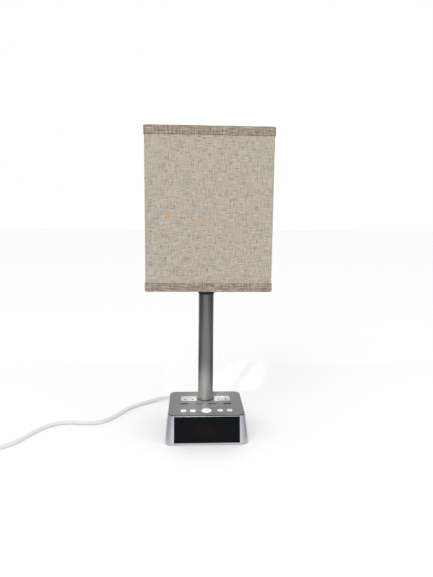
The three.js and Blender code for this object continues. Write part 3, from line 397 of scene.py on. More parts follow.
CORD_LAID = [  # x, y on the table, as far as the coil
    *((-113.0, 89.0), (-122.5, 81.0), (-137.7, 64.6), (-149.8, 43.6), (-161.5, 23.5)),
    *((-173.5, 9.4), (-186.0, 2.6), (-201.2, 1.6), (-217.0, 3.2), (-232.8, 4.8)),
    *((-247.6, 2.4), (-261.0, -5.6), (-271.5, -17.8), (-281.0, -33.2), (-291.8, -54.5)),
    *((-303.6, -74.2), (-317.5, -86.8), (-338.5, -102.5)),
]
COIL_X, COIL_Y = -382.8, -83.0
COIL_RADII = (42.2, 36.0, 29.8, 29.8, 36.0, 42.2)  # one for each turn
COIL_LAYERS = (3.9, 3.9, 3.9, 10.1, 10.1, 10.1, 10.1)  # height of each turn's start, and the end's
COIL_START = -53.13  # degrees: where the cord meets the coil
COIL_SWEEP = 126.87 + 5 * 360  # degrees wound, clockwise from above
BUTTONS = {
    "alarm_button": (-37.0, 4.7),
    "set_button": (-22.0, 4.7),
    "lamp_button": (0.0, 8.25),
    "minus_button": (22.0, 4.7),
    "plus_button": (37.0, 4.7),
}
BUTTON_Y = -55.6
BUTTON_TOP = PLATE_TOP + 0.9
BUTTON_FLANGE = 44.3  # top of the rim that keeps a button in the plate
DOTS_X = (-46.5, -29.5, 29.5, 46.5)
OUTLETS_X = (-28.1, 28.1)
GROUND_HOLE_Y, BLADE_SLOT_Y = 4.5, -5.8
BLADE_SLOT_X = 6.35  # from an outlet's middle
# heights of the black strip that paints the shadow in the step under the plate
SHADOW_STRIP_LOW, SHADOW_STRIP_LEDGE, SHADOW_STRIP_HIGH = 43.5, 44.34, 45.58
DIGITS_X = (-24.5, -10.5, 10.5, 24.5)
STROKES_UP = (15.0, 22.5, 30.0)  # up the window, to the level strokes of a digit


# -------------------- shape helpers
def polar(radius, angle):
    return (radius * math.cos(angle), radius * math.sin(angle))


def packed_box(name):
    """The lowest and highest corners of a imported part, in millimetres."""
    return (Vector(corner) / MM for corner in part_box(name))


def in_metres(points):
    return [tuple(value * MM for value in point) for point in points]


def as_piece(name, mesh, slot, replaces=(), body=ROOT, smooth=35.0):
    """Makes an object of a mesh, in its finish and on its body."""
    piece = bpy.data.objects.new(name, mesh)
    bpy.context.scene.collection.objects.link(piece)
    mesh.materials.append(material(slot))
    if smooth:
        mesh.shade_smooth()
        mesh.set_sharp_from_angle(angle=math.radians(smooth))
    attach(piece, body)
    if replaces:
        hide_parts(*replaces)
    return piece


def closed_mesh(name, points, faces):
    """A mesh of points in millimetres, its faces turned outwards."""
    mesh = bpy.data.meshes.new(name)
    mesh.from_pydata(in_metres(points), [], faces)
    tidy = bmesh.new()
    tidy.from_mesh(mesh)
    bmesh.ops.recalc_face_normals(tidy, faces=tidy.faces)
    tidy.to_mesh(mesh)
    tidy.free()
    return mesh


def merged_mesh(name, parts):
    """One mesh of several (points, faces) parts."""
    points, faces = [], []
    for part_points, part_faces in parts:
        base = len(points)
        points += part_points
        faces += [tuple(base + i for i in face) for face in part_faces]
    return closed_mesh(name, points, faces)


def fillet(corners, radius=0.4, steps=3):
    """The corners of a closed flat outline, each rounded off as far as its sides allow."""
    count = len(corners)
    rounded = []
    for i, corner in enumerate(corners):
        here = Vector(corner)
        back = Vector(corners[i - 1]) - here
        ahead = Vector(corners[(i + 1) % count]) - here
        reach = min(radius, back.length * 0.45, ahead.length * 0.45)
        start, end = here + back.normalized() * reach, here + ahead.normalized() * reach
        for k in range(steps + 1):
            t = k / steps
            rounded.append(tuple(start * (1 - t) ** 2 + here * 2 * t * (1 - t) + end * t * t))
    return rounded


def turned(profile, steps=96, centre=(0.0, 0.0, 0.0), closed=True, axis="Z"):
    """The points and faces of a (radius, height) profile turned about an upright axis.

    A closed profile makes a ring. An open one starts and ends on the axis. axis "Y" lays it
    down."""
    rings = []
    points = []
    for radius, height in profile:
        if radius < 1e-6:
            rings.append([len(points)] * steps)
            points.append((0.0, 0.0, height))
            continue
        rings.append(list(range(len(points), len(points) + steps)))
        for k in range(steps):
            points.append((*polar(radius, math.tau * k / steps), height))
    faces = ring_faces(rings, closed)
    if axis == "Y":
        points = [(x, z, -y) for x, y, z in points]
    return [(x + centre[0], y + centre[1], z + centre[2]) for x, y, z in points], faces


def ring_faces(rings, closed):
    """Faces between rings of point numbers, and from the last back to the first if closed."""
    faces = []
    count = len(rings[0])
    for low, high in zip(rings, rings[1:] + (rings[:1] if closed else [])):
        for k in range(count):
            after = (k + 1) % count
            face = [low[k], low[after], high[after], high[k]]
            kept = [v for i, v in enumerate(face) if v != face[i - 1]]
            if len(kept) > 2:
                faces.append(tuple(kept))
    return faces


def lathe(name, profile, slot, replaces=(), body=ROOT, **options):
    return as_piece(name, closed_mesh(name, *turned(profile, **options)), slot, replaces, body)


def square_way(width, corner, side_steps, corner_steps):
    """(x, y, outward x, outward y, run) along a rounded square, from a corner of its back."""
    half = width / 2
    flat = half - corner
    way = []
    run = 0.0
    for side in range(4):
        turn = math.pi / 2 + side * math.pi / 2
        out = Vector((math.cos(turn), math.sin(turn)))
        along = Vector((-out.y, out.x))
        for k in range(side_steps):
            offset = -flat + 2 * flat * k / side_steps
            at = out * half + along * offset
            way.append((at.x, at.y, out.x, out.y, run + flat + offset))
        run += 2 * flat
        centre = out * flat + along * flat
        for k in range(corner_steps):
            angle = turn + math.pi / 2 * k / corner_steps
            ray = Vector((math.cos(angle), math.sin(angle)))
            at = centre + ray * corner
            way.append((at.x, at.y, ray.x, ray.y, run + corner * math.pi / 2 * k / corner_steps))
        run += corner * math.pi / 2
    return way


def around_square(name, way, section, shift=None):
    """A closed section of (offset out, height, looseness) carried around the way.

    shift(run, height) adds to the offset where the looseness isn't 0."""
    points, rings = [], []
    for offset, height, loose in section:
        rings.append(list(range(len(points), len(points) + len(way))))
        for x, y, out_x, out_y, run in way:
            more = offset + (loose * shift(run, height) if shift and loose else 0)
            points.append((x + out_x * more, y + out_y * more, height))
    mesh = closed_mesh(name, points, ring_faces(rings, True))
    around = mesh.attributes.new("around", "FLOAT", "POINT")
    runs = [spot[4] * MM for spot in way] * len(section)
    around.data.foreach_set("value", runs)
    return mesh


def tube(way, radius, sides=12, closed=False):
    """The points and faces of a round wire along 3-D points."""
    spots = [Vector(p) for p in way]
    count = len(spots)
    points, rings = [], []
    side = None
    for i, spot in enumerate(spots):
        before = spots[i - 1] if closed or i else spot
        after = spots[(i + 1) % count] if closed or i < count - 1 else spot
        along = (after - before).normalized()
        side = along.orthogonal() if side is None else side - along * side.dot(along)
        side.normalize()
        other = along.cross(side)
        rings.append(list(range(len(points), len(points) + sides)))
        for k in range(sides):
            angle = math.tau * k / sides
            ray = side * math.cos(angle) + other * math.sin(angle)
            points.append(tuple(spot + ray * radius))
    faces = ring_faces(rings, closed)
    if not closed:
        faces += [tuple(reversed(rings[0])), tuple(rings[-1])]
    return points, faces


def outline(width, depth, corner, x, y, steps=8):
    """A rounded rectangle's corner points, anticlockwise."""
    points = []
    for quarter, (sx, sy) in enumerate(((1, 1), (-1, 1), (-1, -1), (1, -1))):
        for k in range(steps + 1):
            angle = math.pi / 2 * (quarter + k / steps)
            points.append(
                (
                    x + sx * (width / 2 - corner) + corner * math.cos(angle),
                    y + sy * (depth / 2 - corner) + corner * math.sin(angle),
                )
            )
    return points


def stacked(levels, ring=False):
    """The points and faces of outlines with the same number of points, one over another.

    It has a bottom and a top, or is a ring whose last outline joins the first."""
    points, rings = [], []
    for flat, height in levels:
        rings.append(list(range(len(points), len(points) + len(flat))))
        points += [(x, y, height) for x, y in flat]
    ends = [] if ring else [tuple(reversed(rings[0])), tuple(rings[-1])]
    return points, ring_faces(rings, ring) + ends


def soften(piece, width):
    """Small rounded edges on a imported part: flat faces are joined first, then the edges rolled."""
    sharp = math.radians(32.0)
    flat = piece.modifiers.new("flats", "DECIMATE")
    flat.decimate_type = "DISSOLVE"
    flat.angle_limit = math.radians(0.6)
    edge = piece.modifiers.new("edges", "BEVEL")
    edge.width = width * MM
    edge.segments = 2
    edge.limit_method = "ANGLE"
    edge.angle_limit = sharp
    edge.use_clamp_overlap = True
    piece.data.shade_smooth()
    piece.data.set_sharp_from_angle(angle=sharp)
    weight = piece.modifiers.new("shading", "WEIGHTED_NORMAL")
    weight.keep_sharp = True


def piece_of(name, parts, slot, replaces=(), body=ROOT):
    """One piece of several (points, faces) parts."""
    return as_piece(name, merged_mesh(name, parts), slot, replaces, body)


# -------------------- the shade
def cloth_section(settings):
    """Outer linen, from its lower to its upper edge, as thick as the cloth."""
    low, high = SHADE_BOTTOM + CLOTH_INSET, SHADE_TOP - CLOTH_INSET
    rows = 24
    outer = [(0.0, low + (high - low) * i / rows, 1.0) for i in range(rows + 1)]
    thick = settings.cloth_thickness / MM
    inner = [(-thick, height, 1.0) for _, height, _ in reversed(outer)]
    return outer + inner


def sway(run, height):
    """How far the cloth stands off its stiff lining: it falls inwards only, and very little."""
    return 0.06 * noise.noise(Vector((run / 40, height / 55, 2.0))) - 0.08


def tape_section(edge, fold, up):
    """A folded tape. edge is the height of its free edge, fold that of the fold over the rim."""
    rise = 1 if up else -1
    span = abs(fold - edge)
    lap = 0.34 * span  # the doubled part, which ends in a crease
    outside = [
        (0.30, 0.0, 0.0),
        (0.62, 0.05, 0.2),
        (0.86, 0.45, 0.7),
        (0.95, 1.6, 1.0),
        (0.92, lap * 0.6, 1.0),
        (0.84, lap - 0.45, 0.8),
        (0.64, lap, 0.6),
        (0.90, lap + 0.5, 0.9),
        (1.02, lap + 1.8, 1.0),
        (1.02, lap + 3.4, 1.0),
        (0.98, span - 3.2, 1.0),
        (1.02, span - 1.9, 0.9),
        (0.92, span - 0.9, 0.6),
        (0.5, span - 0.25, 0.2),
        (-0.2, span, 0.0),
        (-1.2, span, 0.0),
        (-2.0, span - 0.25, 0.0),
        (-2.4, span - 0.9, 0.0),
        (-2.5, span - 2.0, 0.0),
        (-2.5, 0.4, 0.0),
        (-2.4, 0.0, 0.0),
        (-1.75, 0.0, 0.0),
        (-1.7, span - 1.0, 0.0),
        (0.3, span - 1.0, 0.0),
    ]
    return [(offset, edge + rise * height, loose) for offset, height, loose in outside]


def creased(seed, upright):
    """Small wrinkles for a tape, smooth along it or drawn slantwise."""

    def shift(run, height):
        broad = noise.noise(Vector((run / 13, height / 6, seed)))
        fine = noise.noise(Vector((run / 4.5 + upright * height / 3, height / 4, seed + 7)))
        return 0.22 * broad + 0.14 * fine - 0.02

    return shift


class LAMP_OT_shade(bpy.types.Operator):
    """Makes the linen shade: cloth, lining, folded tapes and both wire frames"""

    bl_idname = "lamp.shade"
    bl_label = "Shade"

    def execute(self, context):
        settings = context.scene.lamp_settings
        way = square_way(SHADE_WIDTH, SHADE_CORNER, 70, 8)
        mesh = around_square("shade_cloth", way, cloth_section(settings), sway)
        cloth = as_piece("shade_cloth", mesh, "linen", ["shade_linen"])
        thick = settings.cloth_thickness / MM
        lining_way = square_way(SHADE_WIDTH - 2 * thick - 0.4, SHADE_CORNER - thick, 12, 8)
        back = -(LINER_INNER - thick - 0.2)
        low, high = SHADE_BOTTOM + CLOTH_INSET, SHADE_TOP - CLOTH_INSET
        section = [(0.0, low, 0), (0.0, high, 0), (back, high, 0), (back, low, 0)]
        mesh = around_square("shade_lining", lining_way, section)
        lining = as_piece("shade_lining", mesh, "button_white")
        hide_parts("shade_linen")
        tape_way = square_way(SHADE_WIDTH, SHADE_CORNER, 110, 10)
        top = tape_section(SHADE_TOP - TAPE_HEIGHT, SHADE_TOP, True)
        bottom = tape_section(SHADE_BOTTOM + TAPE_HEIGHT, SHADE_BOTTOM, False)
        upper = around_square("tape_upper", tape_way, top, creased(3.0, 1.0))
        lower = around_square("tape_lower", tape_way, bottom, creased(11.0, -0.6))
        as_piece("tape_upper", upper, "linen_tape", ["shade_tape_top"], smooth=60)
        as_piece("tape_lower", lower, "linen_tape", ["shade_tape_bottom"], smooth=60)
        self.frames()
        return {"FINISHED"}

    def frames(self):
        """Two square wire frames. The lower has four spokes that carry a ring."""
        way = square_way(2 * FRAME_REACH, 4.0, 2, 6)
        heights = (SHADE_TOP - FRAME_INSET, SHADE_BOTTOM + FRAME_INSET)
        wires = [[(x, y, height) for x, y, *_ in way] for height in heights]
        upper, lower = (tube(wire, FRAME_WIRE, closed=True) for wire in wires)
        piece_of("frame_upper", [upper], "plain_steel", ["shade_frame_top"])
        bent = [(23.2, 263.5), (28, 263.3), (31, 262.6), (60, 256.8), (85, 251.8)]
        bent += [(88.0, 251.2), (FRAME_REACH, 251.1)]
        spokes = []
        for quarter in range(4):
            turn = Matrix.Rotation(quarter * math.pi / 2, 3, "Z")
            spoke = [tuple(turn @ Vector((out, 0, up))) for out, up in bent]
            spokes.append(tube(spoke, FRAME_WIRE))
        ring = fillet([(19.8, 262.6), (24.8, 262.6), (24.8, 264.6), (19.8, 264.6)], 0.5)
        parts = [lower, *spokes, turned(ring)]
        piece_of("frame_lower", parts, "plain_steel", ["shade_frame_bottom"])


# -------------------- pole, socket and bulb
def threaded(radius, low, high, pitch, depth):
    """A wavy upright side, as a rolled thread looks from beside it."""
    count = int((high - low) / pitch * 6)
    step = (high - low) / count
    side = []
    for i in range(count + 1):
        height = low + i * step
        wave = depth / 2 * math.cos(math.tau * (height - low) / pitch)
        side.append((radius - depth / 2 + wave, height))
    return side


class LAMP_OT_pole(bpy.types.Operator):
    """Makes the round pole, its collar with a black ring under it that paints the shadow there, and
    the washer at its top
    """

    bl_idname = "lamp.pole"
    bl_label = "Pole"

    def execute(self, context):
        low, high = POLE_ENDS
        wall = [(POLE_INSIDE, low), (POLE_RADIUS, low), (POLE_RADIUS, high), (POLE_INSIDE, high)]
        lathe("pole_skin", fillet(wall), "pole_metal", ["pole_tube"], steps=128)
        collar = [(ROD_HOLE, 46.3), (13.2, 46.3), (13.2, 47.4), (14.6, 47.9), (14.6, 48.4)]
        collar += [(13.6, 49.1), (ROD_HOLE, 49.1)]
        lathe("collar_skin", fillet(collar, 0.25), "pole_metal", ["pole_collar"], steps=128)
        # painted shadow: a black ring under the collar darkens its foot, where shade falls in the
        # undercut
        shadow_ring = [(12.6, 46.05), (14.45, 46.05), (14.45, 47.5), (12.6, 47.5)]
        lathe("collar_shadow_ring", fillet(shadow_ring, 0.3), "black_plastic", steps=128)
        washer = [(ROD_HOLE, 232.2), (9.6, 232.2), (9.6, 233.4), (ROD_HOLE, 233.4)]
        lathe("cup_washer", fillet(washer, 0.3), "plain_steel", steps=64)
        return {"FINISHED"}


class LAMP_OT_socket(bpy.types.Operator):
    """Makes the cup under the shade, the lamp socket, its clamp ring and the bulb"""

    bl_idname = "lamp.socket"
    bl_label = "Socket and bulb"

    def execute(self, context):
        cup = [(12.8, CUP_BOTTOM), (14.2, 230.3), (15.4, 232.7), (17.0, 237.3), (18.7, 242.8)]
        cup += [(19.5, 248.3), (19.5, 258.6), (22.6, 259.9), (22.6, 262.3), (20.6, 262.3)]
        cup += [(17.9, 257.8), (17.9, 248.3), (17.0, 243.2), (15.3, 237.8), (13.4, CUP_FLOOR)]
        cup += [(ROD_HOLE, CUP_FLOOR), (ROD_HOLE, CUP_BOTTOM)]
        lathe("cup_skin", fillet(cup, 0.8), "black_plastic", ["socket_cup"])
        body = [(ROD_HOLE, SOCKET_BOTTOM), (18.6, SOCKET_BOTTOM)]
        body += [*threaded(19.5, 263.4, 291.0, 2.4, 0.7), (18.8, SOCKET_TOP), (14.8, SOCKET_TOP)]
        body += [(14.8, SOCKET_FLOOR), (ROD_HOLE, SOCKET_FLOOR)]
        lathe("socket_skin", body, "black_plastic", ["socket_body"])
        low, high = (corner[2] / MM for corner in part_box("screw_shell"))
        outer = threaded(14.5, low, high, 3.6, 0.5)
        inner = [(radius - 0.5, height) for radius, height in reversed(outer)]
        lathe("shell_skin", outer + inner, "contact_brass", ["screw_shell"])
        contact = [(0, 266.7), (3.6, 266.7), (3.6, 267.3), (2.4, 268.2), (1.2, 269.3), (0, 269.4)]
        lathe("centre_contact", contact, "contact_brass", closed=False, steps=32)
        low, high = CLAMP_ENDS
        clamp = [(19.8, low), (24.2, low), (25.0, 265.7), (25.0, 270.1), (24.2, high), (19.8, high)]
        lathe("clamp_skin", fillet(clamp), "black_plastic", ["shade_clamp_ring"])
        self.bulb()
        return {"FINISHED"}

    def bulb(self):
        low, high = BULB_CAP_ENDS
        cap = [(0, low), (3.2, low), (4.4, low + 0.6), (8.0, low + 2.2), (11.8, low + 3.4)]
        cap += threaded(12.9, low + 3.8, high - 3, 3.6, 0.7)
        cap += [(13.0, high - 0.4), (12.6, high), (0, high)]
        lathe("bulb_cap", cap, "bulb_cap", ["bulb_base"], closed=False)
        low, high = BULB_ENDS
        middle = high - BULB_RADIUS
        outer = [(13.1, low), (13.6, low + 5), (14.6, low + 12), (17.2, low + 21), (21.6, low + 31)]
        outer += [(26.2, low + 41), (29.0, low + 49)]
        for i in range(20):
            across, up = polar(BULB_RADIUS, i * math.pi / 40)
            outer.append((across, middle + up))
        outer.append((0, high))
        inner = []
        for radius, height in reversed(outer):
            crown = BULB_WALL if radius < 20 and height > middle else 0
            inner.append((max(radius - BULB_WALL, 0), height - crown))
        lathe("bulb_glass", outer + inner, "frosted_globe", ["bulb_globe"], closed=False)


# -------------------- the clock base
LEAN = math.atan(10.1 / 45.0)  # of the front, off upright
FRONT_FOOT = -83.9  # the front's foot, where z = 1


def on_front(x, up, out):
    """A point of the leaning front: across, up along it from its foot, and out from it."""
    y = FRONT_FOOT + up * math.sin(LEAN) - out * math.cos(LEAN)
    return (x, y, 1.0 + up * math.cos(LEAN) + out * math.sin(LEAN))


def printed(flat, x, y, height, thickness=0.04):
    """A thin flat print with this outline, round (x, y), lying on a level face."""
    placed = [(x + px, y + py) for px, py in flat]
    return stacked([(placed, height), (placed, height + thickness)])


def disc(radius, steps=20):
    return [polar(radius, math.tau * k / steps) for k in range(steps)]


def bar(width, depth, x=0.0, y=0.0):
    corners = ((-1, -1), (1, -1), (1, 1), (-1, 1))
    return [(x + sx * width / 2, y + sy * depth / 2) for sx, sy in corners]


def arc(radius, width, start, end, steps=20):
    """The outline of an arc from one angle to another, in degrees."""
    angles = [math.radians(start + (end - start) * k / steps) for k in range(steps + 1)]
    return [polar(radius, a) for a in angles] + [polar(radius - width, a) for a in reversed(angles)]


def button_marks(name, x, top):
    """The plain sign on each button: bell, clock, lamp ring, minus or plus."""
    dome = [polar(1.3, math.pi * k / 10) for k in range(11)]
    flats = {
        "alarm_button": [dome, bar(3.6, 0.4, 0, -0.35)],
        "set_button": [arc(1.9, 0.35, 0, 350), bar(0.35, 1.2, 0, 0.5), bar(0.9, 0.35, 0.35, -0.3)],
        "lamp_button": [arc(2.7, 0.5, -235, 55), bar(0.5, 2.4, 0, 1.9)],
        "minus_button": [bar(3.0, 0.5)],
        "plus_button": [bar(3.0, 0.5), bar(0.5, 1.2, 0, 0.9), bar(0.5, 1.2, 0, -0.9)],
    }
    return [printed(flat, x, BUTTON_Y, top) for flat in flats[name]]


ROLLED = {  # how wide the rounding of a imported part's edges is: the parts
    0.12: [f"usb_shell_{i}" for i in range(1, 5)],
    0.15: ["cord_tie"],
    0.25: ["top_plate", "display_window"],
    0.3: ["outlet_left", "outlet_right", "plug_blade_hot", "plug_blade_neutral"],
    0.4: ["bottom_cover", "ballast_plate", "rod_nut", "alarm_buzzer"],
    0.5: ["body_shell"],
    0.6: ["transformer"],
    1.6: ["plug_body"],
}


def segment(x, up, length, upright):
    """One stroke of a digit on the window: a long hexagon, as thin as print."""
    half, thick = length / 2, 0.85
    flat = [(-half, 0), (-half + thick, thick), (half - thick, thick), (half, 0)]
    flat += [(half - thick, -thick), (-half + thick, -thick)]
    if upright:
        flat = [(b, a) for a, b in reversed(flat)]
    lower = [on_front(x + a, up + b, 0.01) for a, b in flat]
    upper = [on_front(x + a, up + b, 0.05) for a, b in flat]
    faces = ring_faces([list(range(6)), list(range(6, 12))], False)
    return lower + upper, faces + [tuple(range(5, -1, -1)), tuple(range(6, 12))]


class LAMP_OT_base(bpy.types.Operator):
    """Softens the edges of the base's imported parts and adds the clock's digits and small marks"""

    bl_idname = "lamp.base"
    bl_label = "Clock base"

    def execute(self, context):
        for width, names in ROLLED.items():
            for name in names:
                soften(FRAME["nodes"][name], width)
        self.digits()
        self.feet()
        self.painted_shadow_strip()
        self.guards_and_slot_shade()
        dots = [printed(disc(0.55), x, BUTTON_Y, PLATE_TOP + 0.005) for x in DOTS_X]
        piece_of("plate_dots", dots, "outlet_white")
        return {"FINISHED"}

    def guards_and_slot_shade(self):
        """Guards just inside the outlets: white in the ground holes, and black blocks in the blade
        slots that paint the shade inside them.
        """
        guards, painted_slot_shades = [], []
        guard = [(0, 43.6), (2.5, 43.6), (2.5, 45.4), (0, 45.4)]
        for x in OUTLETS_X:
            guards.append(turned(guard, 24, (x, GROUND_HOLE_Y, 0), False))
            for side in (-BLADE_SLOT_X, BLADE_SLOT_X):
                # painted shade: a black block fills each blade slot, which looks dark only because
                # it is in shade
                slot = outline(1.6, 6.5, 0.3, x + side, BLADE_SLOT_Y, 2)
                painted_slot_shades.append(stacked([(slot, 44.3), (slot, 45.8)]))
        piece_of("outlet_guards", guards, "outlet_white")
        piece_of("outlet_slot_shade", painted_slot_shades, "black_plastic")

    def painted_shadow_strip(self):
        """A black strip in the step under the plate, which shows as a dark line: painted shadow
        where the step is only in shade.
        """
        # painted shadow: black plastic fills the recess under the plate's edge, where only shade
        # falls
        low = outline(PLATE_WIDTH + 0.4, PLATE_DEPTH + 0.7, 11.3, 0, -PLATE_BACK)
        outer = outline(PLATE_WIDTH + 0.1, PLATE_DEPTH + 0.1, 11.05, 0, -PLATE_BACK)
        inner = outline(PLATE_WIDTH - 2.0, PLATE_DEPTH - 2.0, 10.0, 0, -PLATE_BACK)
        levels = [(low, SHADOW_STRIP_LOW), (outer, SHADOW_STRIP_HIGH)]
        levels += [(inner, SHADOW_STRIP_HIGH), (inner, SHADOW_STRIP_LEDGE)]
        piece_of("plate_shadow_strip", [stacked(levels, ring=True)], "black_plastic")

    def digits(self):
        """Four digits with all their strokes, and the two dashes between the hours and minutes."""
        strokes = []
        for x in DIGITS_X:
            strokes += [segment(x, up, 7.2, False) for up in STROKES_UP]
            for side in (-4.2, 4.2):
                strokes += [segment(x + side, up, 6.6, True) for up in (18.75, 26.25)]
        strokes += [segment(0.0, up, 1.9, False) for up in (19.5, 25.5)]
        piece_of("clock_digits", strokes, "digit_face")

    def feet(self):
        for number in range(1, 5):
            node = f"rubber_foot_{number}"
            low, high = packed_box(node)
            centre = ((low.x + high.x) / 2, (low.y + high.y) / 2, 0.0)
            radius = (high.x - low.x) / 2
            profile = [(0, 0.25), (radius * 0.55, 0.25), (radius * 0.7, 0), (radius - 0.6, 0)]
            profile += [(radius, 0.5), (radius, high.z), (0, high.z)]
            options = {"centre": centre, "closed": False, "steps": 48}
            lathe(f"foot_{number}", profile, "foot_rubber", [node], **options)


class LAMP_OT_buttons(bpy.types.Operator):
    """Makes the five push buttons with their signs, each on its own moving body"""

    bl_idname = "lamp.buttons"
    bl_label = "Buttons"

    def execute(self, context):
        top, flange = BUTTON_TOP, BUTTON_FLANGE
        for name, (x, radius) in BUTTONS.items():
            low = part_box(name)[0][2] / MM
            profile = [(0, low), (1.3, low), (1.6, low + 0.3), (1.6, flange - 1)]
            profile += [(radius + 0.9, flange - 1), (radius + 0.9, flange), (radius, flange)]
            profile += [(radius, top - 0.7), (radius - 0.12, top - 0.4), (radius - 0.4, top - 0.12)]
            profile += [(radius - 0.8, top), (0, top)]
            options = {"centre": (x, BUTTON_Y, 0.0), "closed": False, "steps": 72}
            lathe(f"{name}_cap", profile, "button_white", [name], name, **options)
            marks = button_marks(name, x, top + 0.005)
            piece_of(f"{name}_mark", marks, "plate_grey", (), name)
        return {"FINISHED"}


# -------------------- the cord
def coil_way():
    """The coil's middle line: wound inwards, up a layer, and back out."""
    points = []
    count = int(COIL_SWEEP / 22.5)
    for i in range(count + 1):
        swept = COIL_SWEEP * i / count
        turn, part = divmod(swept / 360, 1)
        turn = min(int(turn), 5)
        ease = min(1, max(0, (part - 0.75) / 0.25))
        ease = ease * ease * (3 - 2 * ease)
        radius = COIL_RADII[turn] * (1 - ease) + COIL_RADII[min(turn + 1, 5)] * ease
        height = COIL_LAYERS[turn] * (1 - ease) + COIL_LAYERS[turn + 1] * ease
        if swept < 60:
            height = CORD_LIE + (height - CORD_LIE) * swept / 60
        across, along = polar(radius, math.radians(COIL_START - swept))
        points.append((COIL_X + across, COIL_Y + along, height))
    return points


def through(points, radius, name, slot):
    """A round cord through these points, as one open spline."""
    curve = bpy.data.curves.new(name, "CURVE")
    curve.dimensions = "3D"
    curve.bevel_depth = radius * MM
    curve.bevel_resolution = 8
    curve.resolution_u = 6
    curve.use_fill_caps = True
    spline = curve.splines.new("BEZIER")
    spline.bezier_points.add(len(points) - 1)
    for knot, point in zip(spline.bezier_points, in_metres(points)):
        knot.co = point
        knot.handle_left_type = knot.handle_right_type = "AUTO"
    curve.materials.append(material(slot))
    cord = bpy.data.objects.new(name, curve)
    bpy.context.scene.collection.objects.link(cord)
    return cord


class LAMP_OT_cord(bpy.types.Operator):
    bl_idname = "lamp.cord"
    bl_label = "Mains cord"

    def execute(self, context):
        start = (EXIT[0], EXIT[1] - 6, EXIT[2])
        coil = coil_way()
        x, y, z = coil[-1]
        low, _ = packed_box("plug_body")
        mouth = low.y + 6
        tail = [(x, y + (mouth - y) * part, z) for part in (0.35, 0.7)]
        laid = [(*place, CORD_LIE) for place in CORD_LAID]
        points = [start, *CORD_DOWN, *laid, *coil, *tail, (x, mouth, z)]
        flex = through(points, CORD_RADIUS, "flex", "cord_white")
        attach(flex, ROOT)
        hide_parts("mains_cord", "cord_coil", "cord_tail")
        self.boot()
        pin = self.pin()
        return {"FINISHED"}

    def boot(self):
        """A ribbed, tapering sleeve, with the collar that holds it in the housing's back."""
        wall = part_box("cord_gland")[0][1] / MM
        flange = 36.2
        profile = [(0, wall), (7, wall), (7, wall + 9), (4.6, wall + 9), (4.6, flange), (7, flange)]
        profile += [(7, flange + 1.2), (6.6, flange + 1.6), (5.6, flange + 1.6)]
        ribs = 7
        for i in range(ribs):
            near, far = flange + 2.6 + i * 3.3, flange + 2.6 + (i + 1) * 3.3
            radius = 5.6 - 1.5 * i / ribs
            profile += [(radius, near), (radius - 0.7, near + 0.3), (radius - 0.7, near + 1.1)]
            profile += [(radius - 0.12, near + 1.4), (radius - 0.2, far - 0.05)]
        profile += [(4.0, 63.4), (3.6, 63.8), (3.3, 63.8), (3.3, 62.0), (0, 62.0)]
        centre = (EXIT[0], 0.0, EXIT[2])
        options = {"centre": centre, "closed": False, "axis": "Y", "steps": 48}
        lathe("boot", profile, "cord_white", ["cord_gland"], **options)

    def pin(self):
        """The plug's round ground pin, with a domed end."""
        low, high = packed_box("plug_ground_pin")
        radius = (high.x - low.x) / 2
        profile = [(0, low.y), (radius, low.y), (radius, high.y - radius)]
        for angle in (0.4, 0.8, 1.2):
            across, up = polar(radius, angle)
            profile.append((across, high.y - radius + up))
        profile.append((0, high.y))
        centre = ((low.x + high.x) / 2, 0.0, (low.z + high.z) / 2)
        options = {"centre": centre, "closed": False, "axis": "Y", "steps": 32}
        return lathe("ground_pin", profile, "contact_brass", ["plug_ground_pin"], **options)


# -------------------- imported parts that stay
class LAMP_OT_parts(bpy.types.Operator):
    """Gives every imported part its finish"""

    bl_idname = "lamp.parts"
    bl_label = "Packed parts"

    def execute(self, context):
        slots = {part["node"]: part["material_slot"] for part in FRAME["record"]["subparts"]}
        for name, node in FRAME["nodes"].items():
            node.data.materials.clear()
            node.data.materials.append(material(slots[name]))
        return {"FINISHED"}


# -------------------- stage
CAMERA_PLACE = (-0.034395, -0.880488, 0.380934)
CAMERA_TURN, CAMERA_DOWN, CAMERA_ROLL = 0.0582, 0.1629, 0.0115  # radians
CAMERA_LENS = 33.685
FLOOR_REACH = 6.0
CARD_X, CARD_BACK, CARD_TOP = 0.62, 0.35, 1.1  # cards beside the lamp, metres
LOW_CARD_X, LOW_CARD_FRONT, LOW_CARD_Z = 0.08, -0.12, 0.004  # cards just over the floor


def light(name, kind, place, aim, power, **settings):
    data = bpy.data.lights.new(name, kind)
    data.energy = power
    for key, value in settings.items():
        setattr(data, key, value)
    lamp = bpy.data.objects.new(name, data)
    lamp.location = place
    lamp.rotation_euler = (Vector(aim) - Vector(place)).to_track_quat("-Z", "Y").to_euler()
    bpy.context.scene.collection.objects.link(lamp)


def sheet_of(name, corners, shade):
    """A flat, matt part of the stage in a grey of this shade."""
    mesh = bpy.data.meshes.new(name)
    mesh.from_pydata(corners, [], [tuple(range(len(corners)))])
    finish = Finish(name, (shade, shade, shade), 0.9)
    finish.give("Roughness", finish.noise(finish.place, 3.0) * 0.05 + 0.87)
    mesh.materials.append(finish.material)
    plane = bpy.data.objects.new(name, mesh)
    bpy.context.scene.collection.objects.link(plane)
    return plane


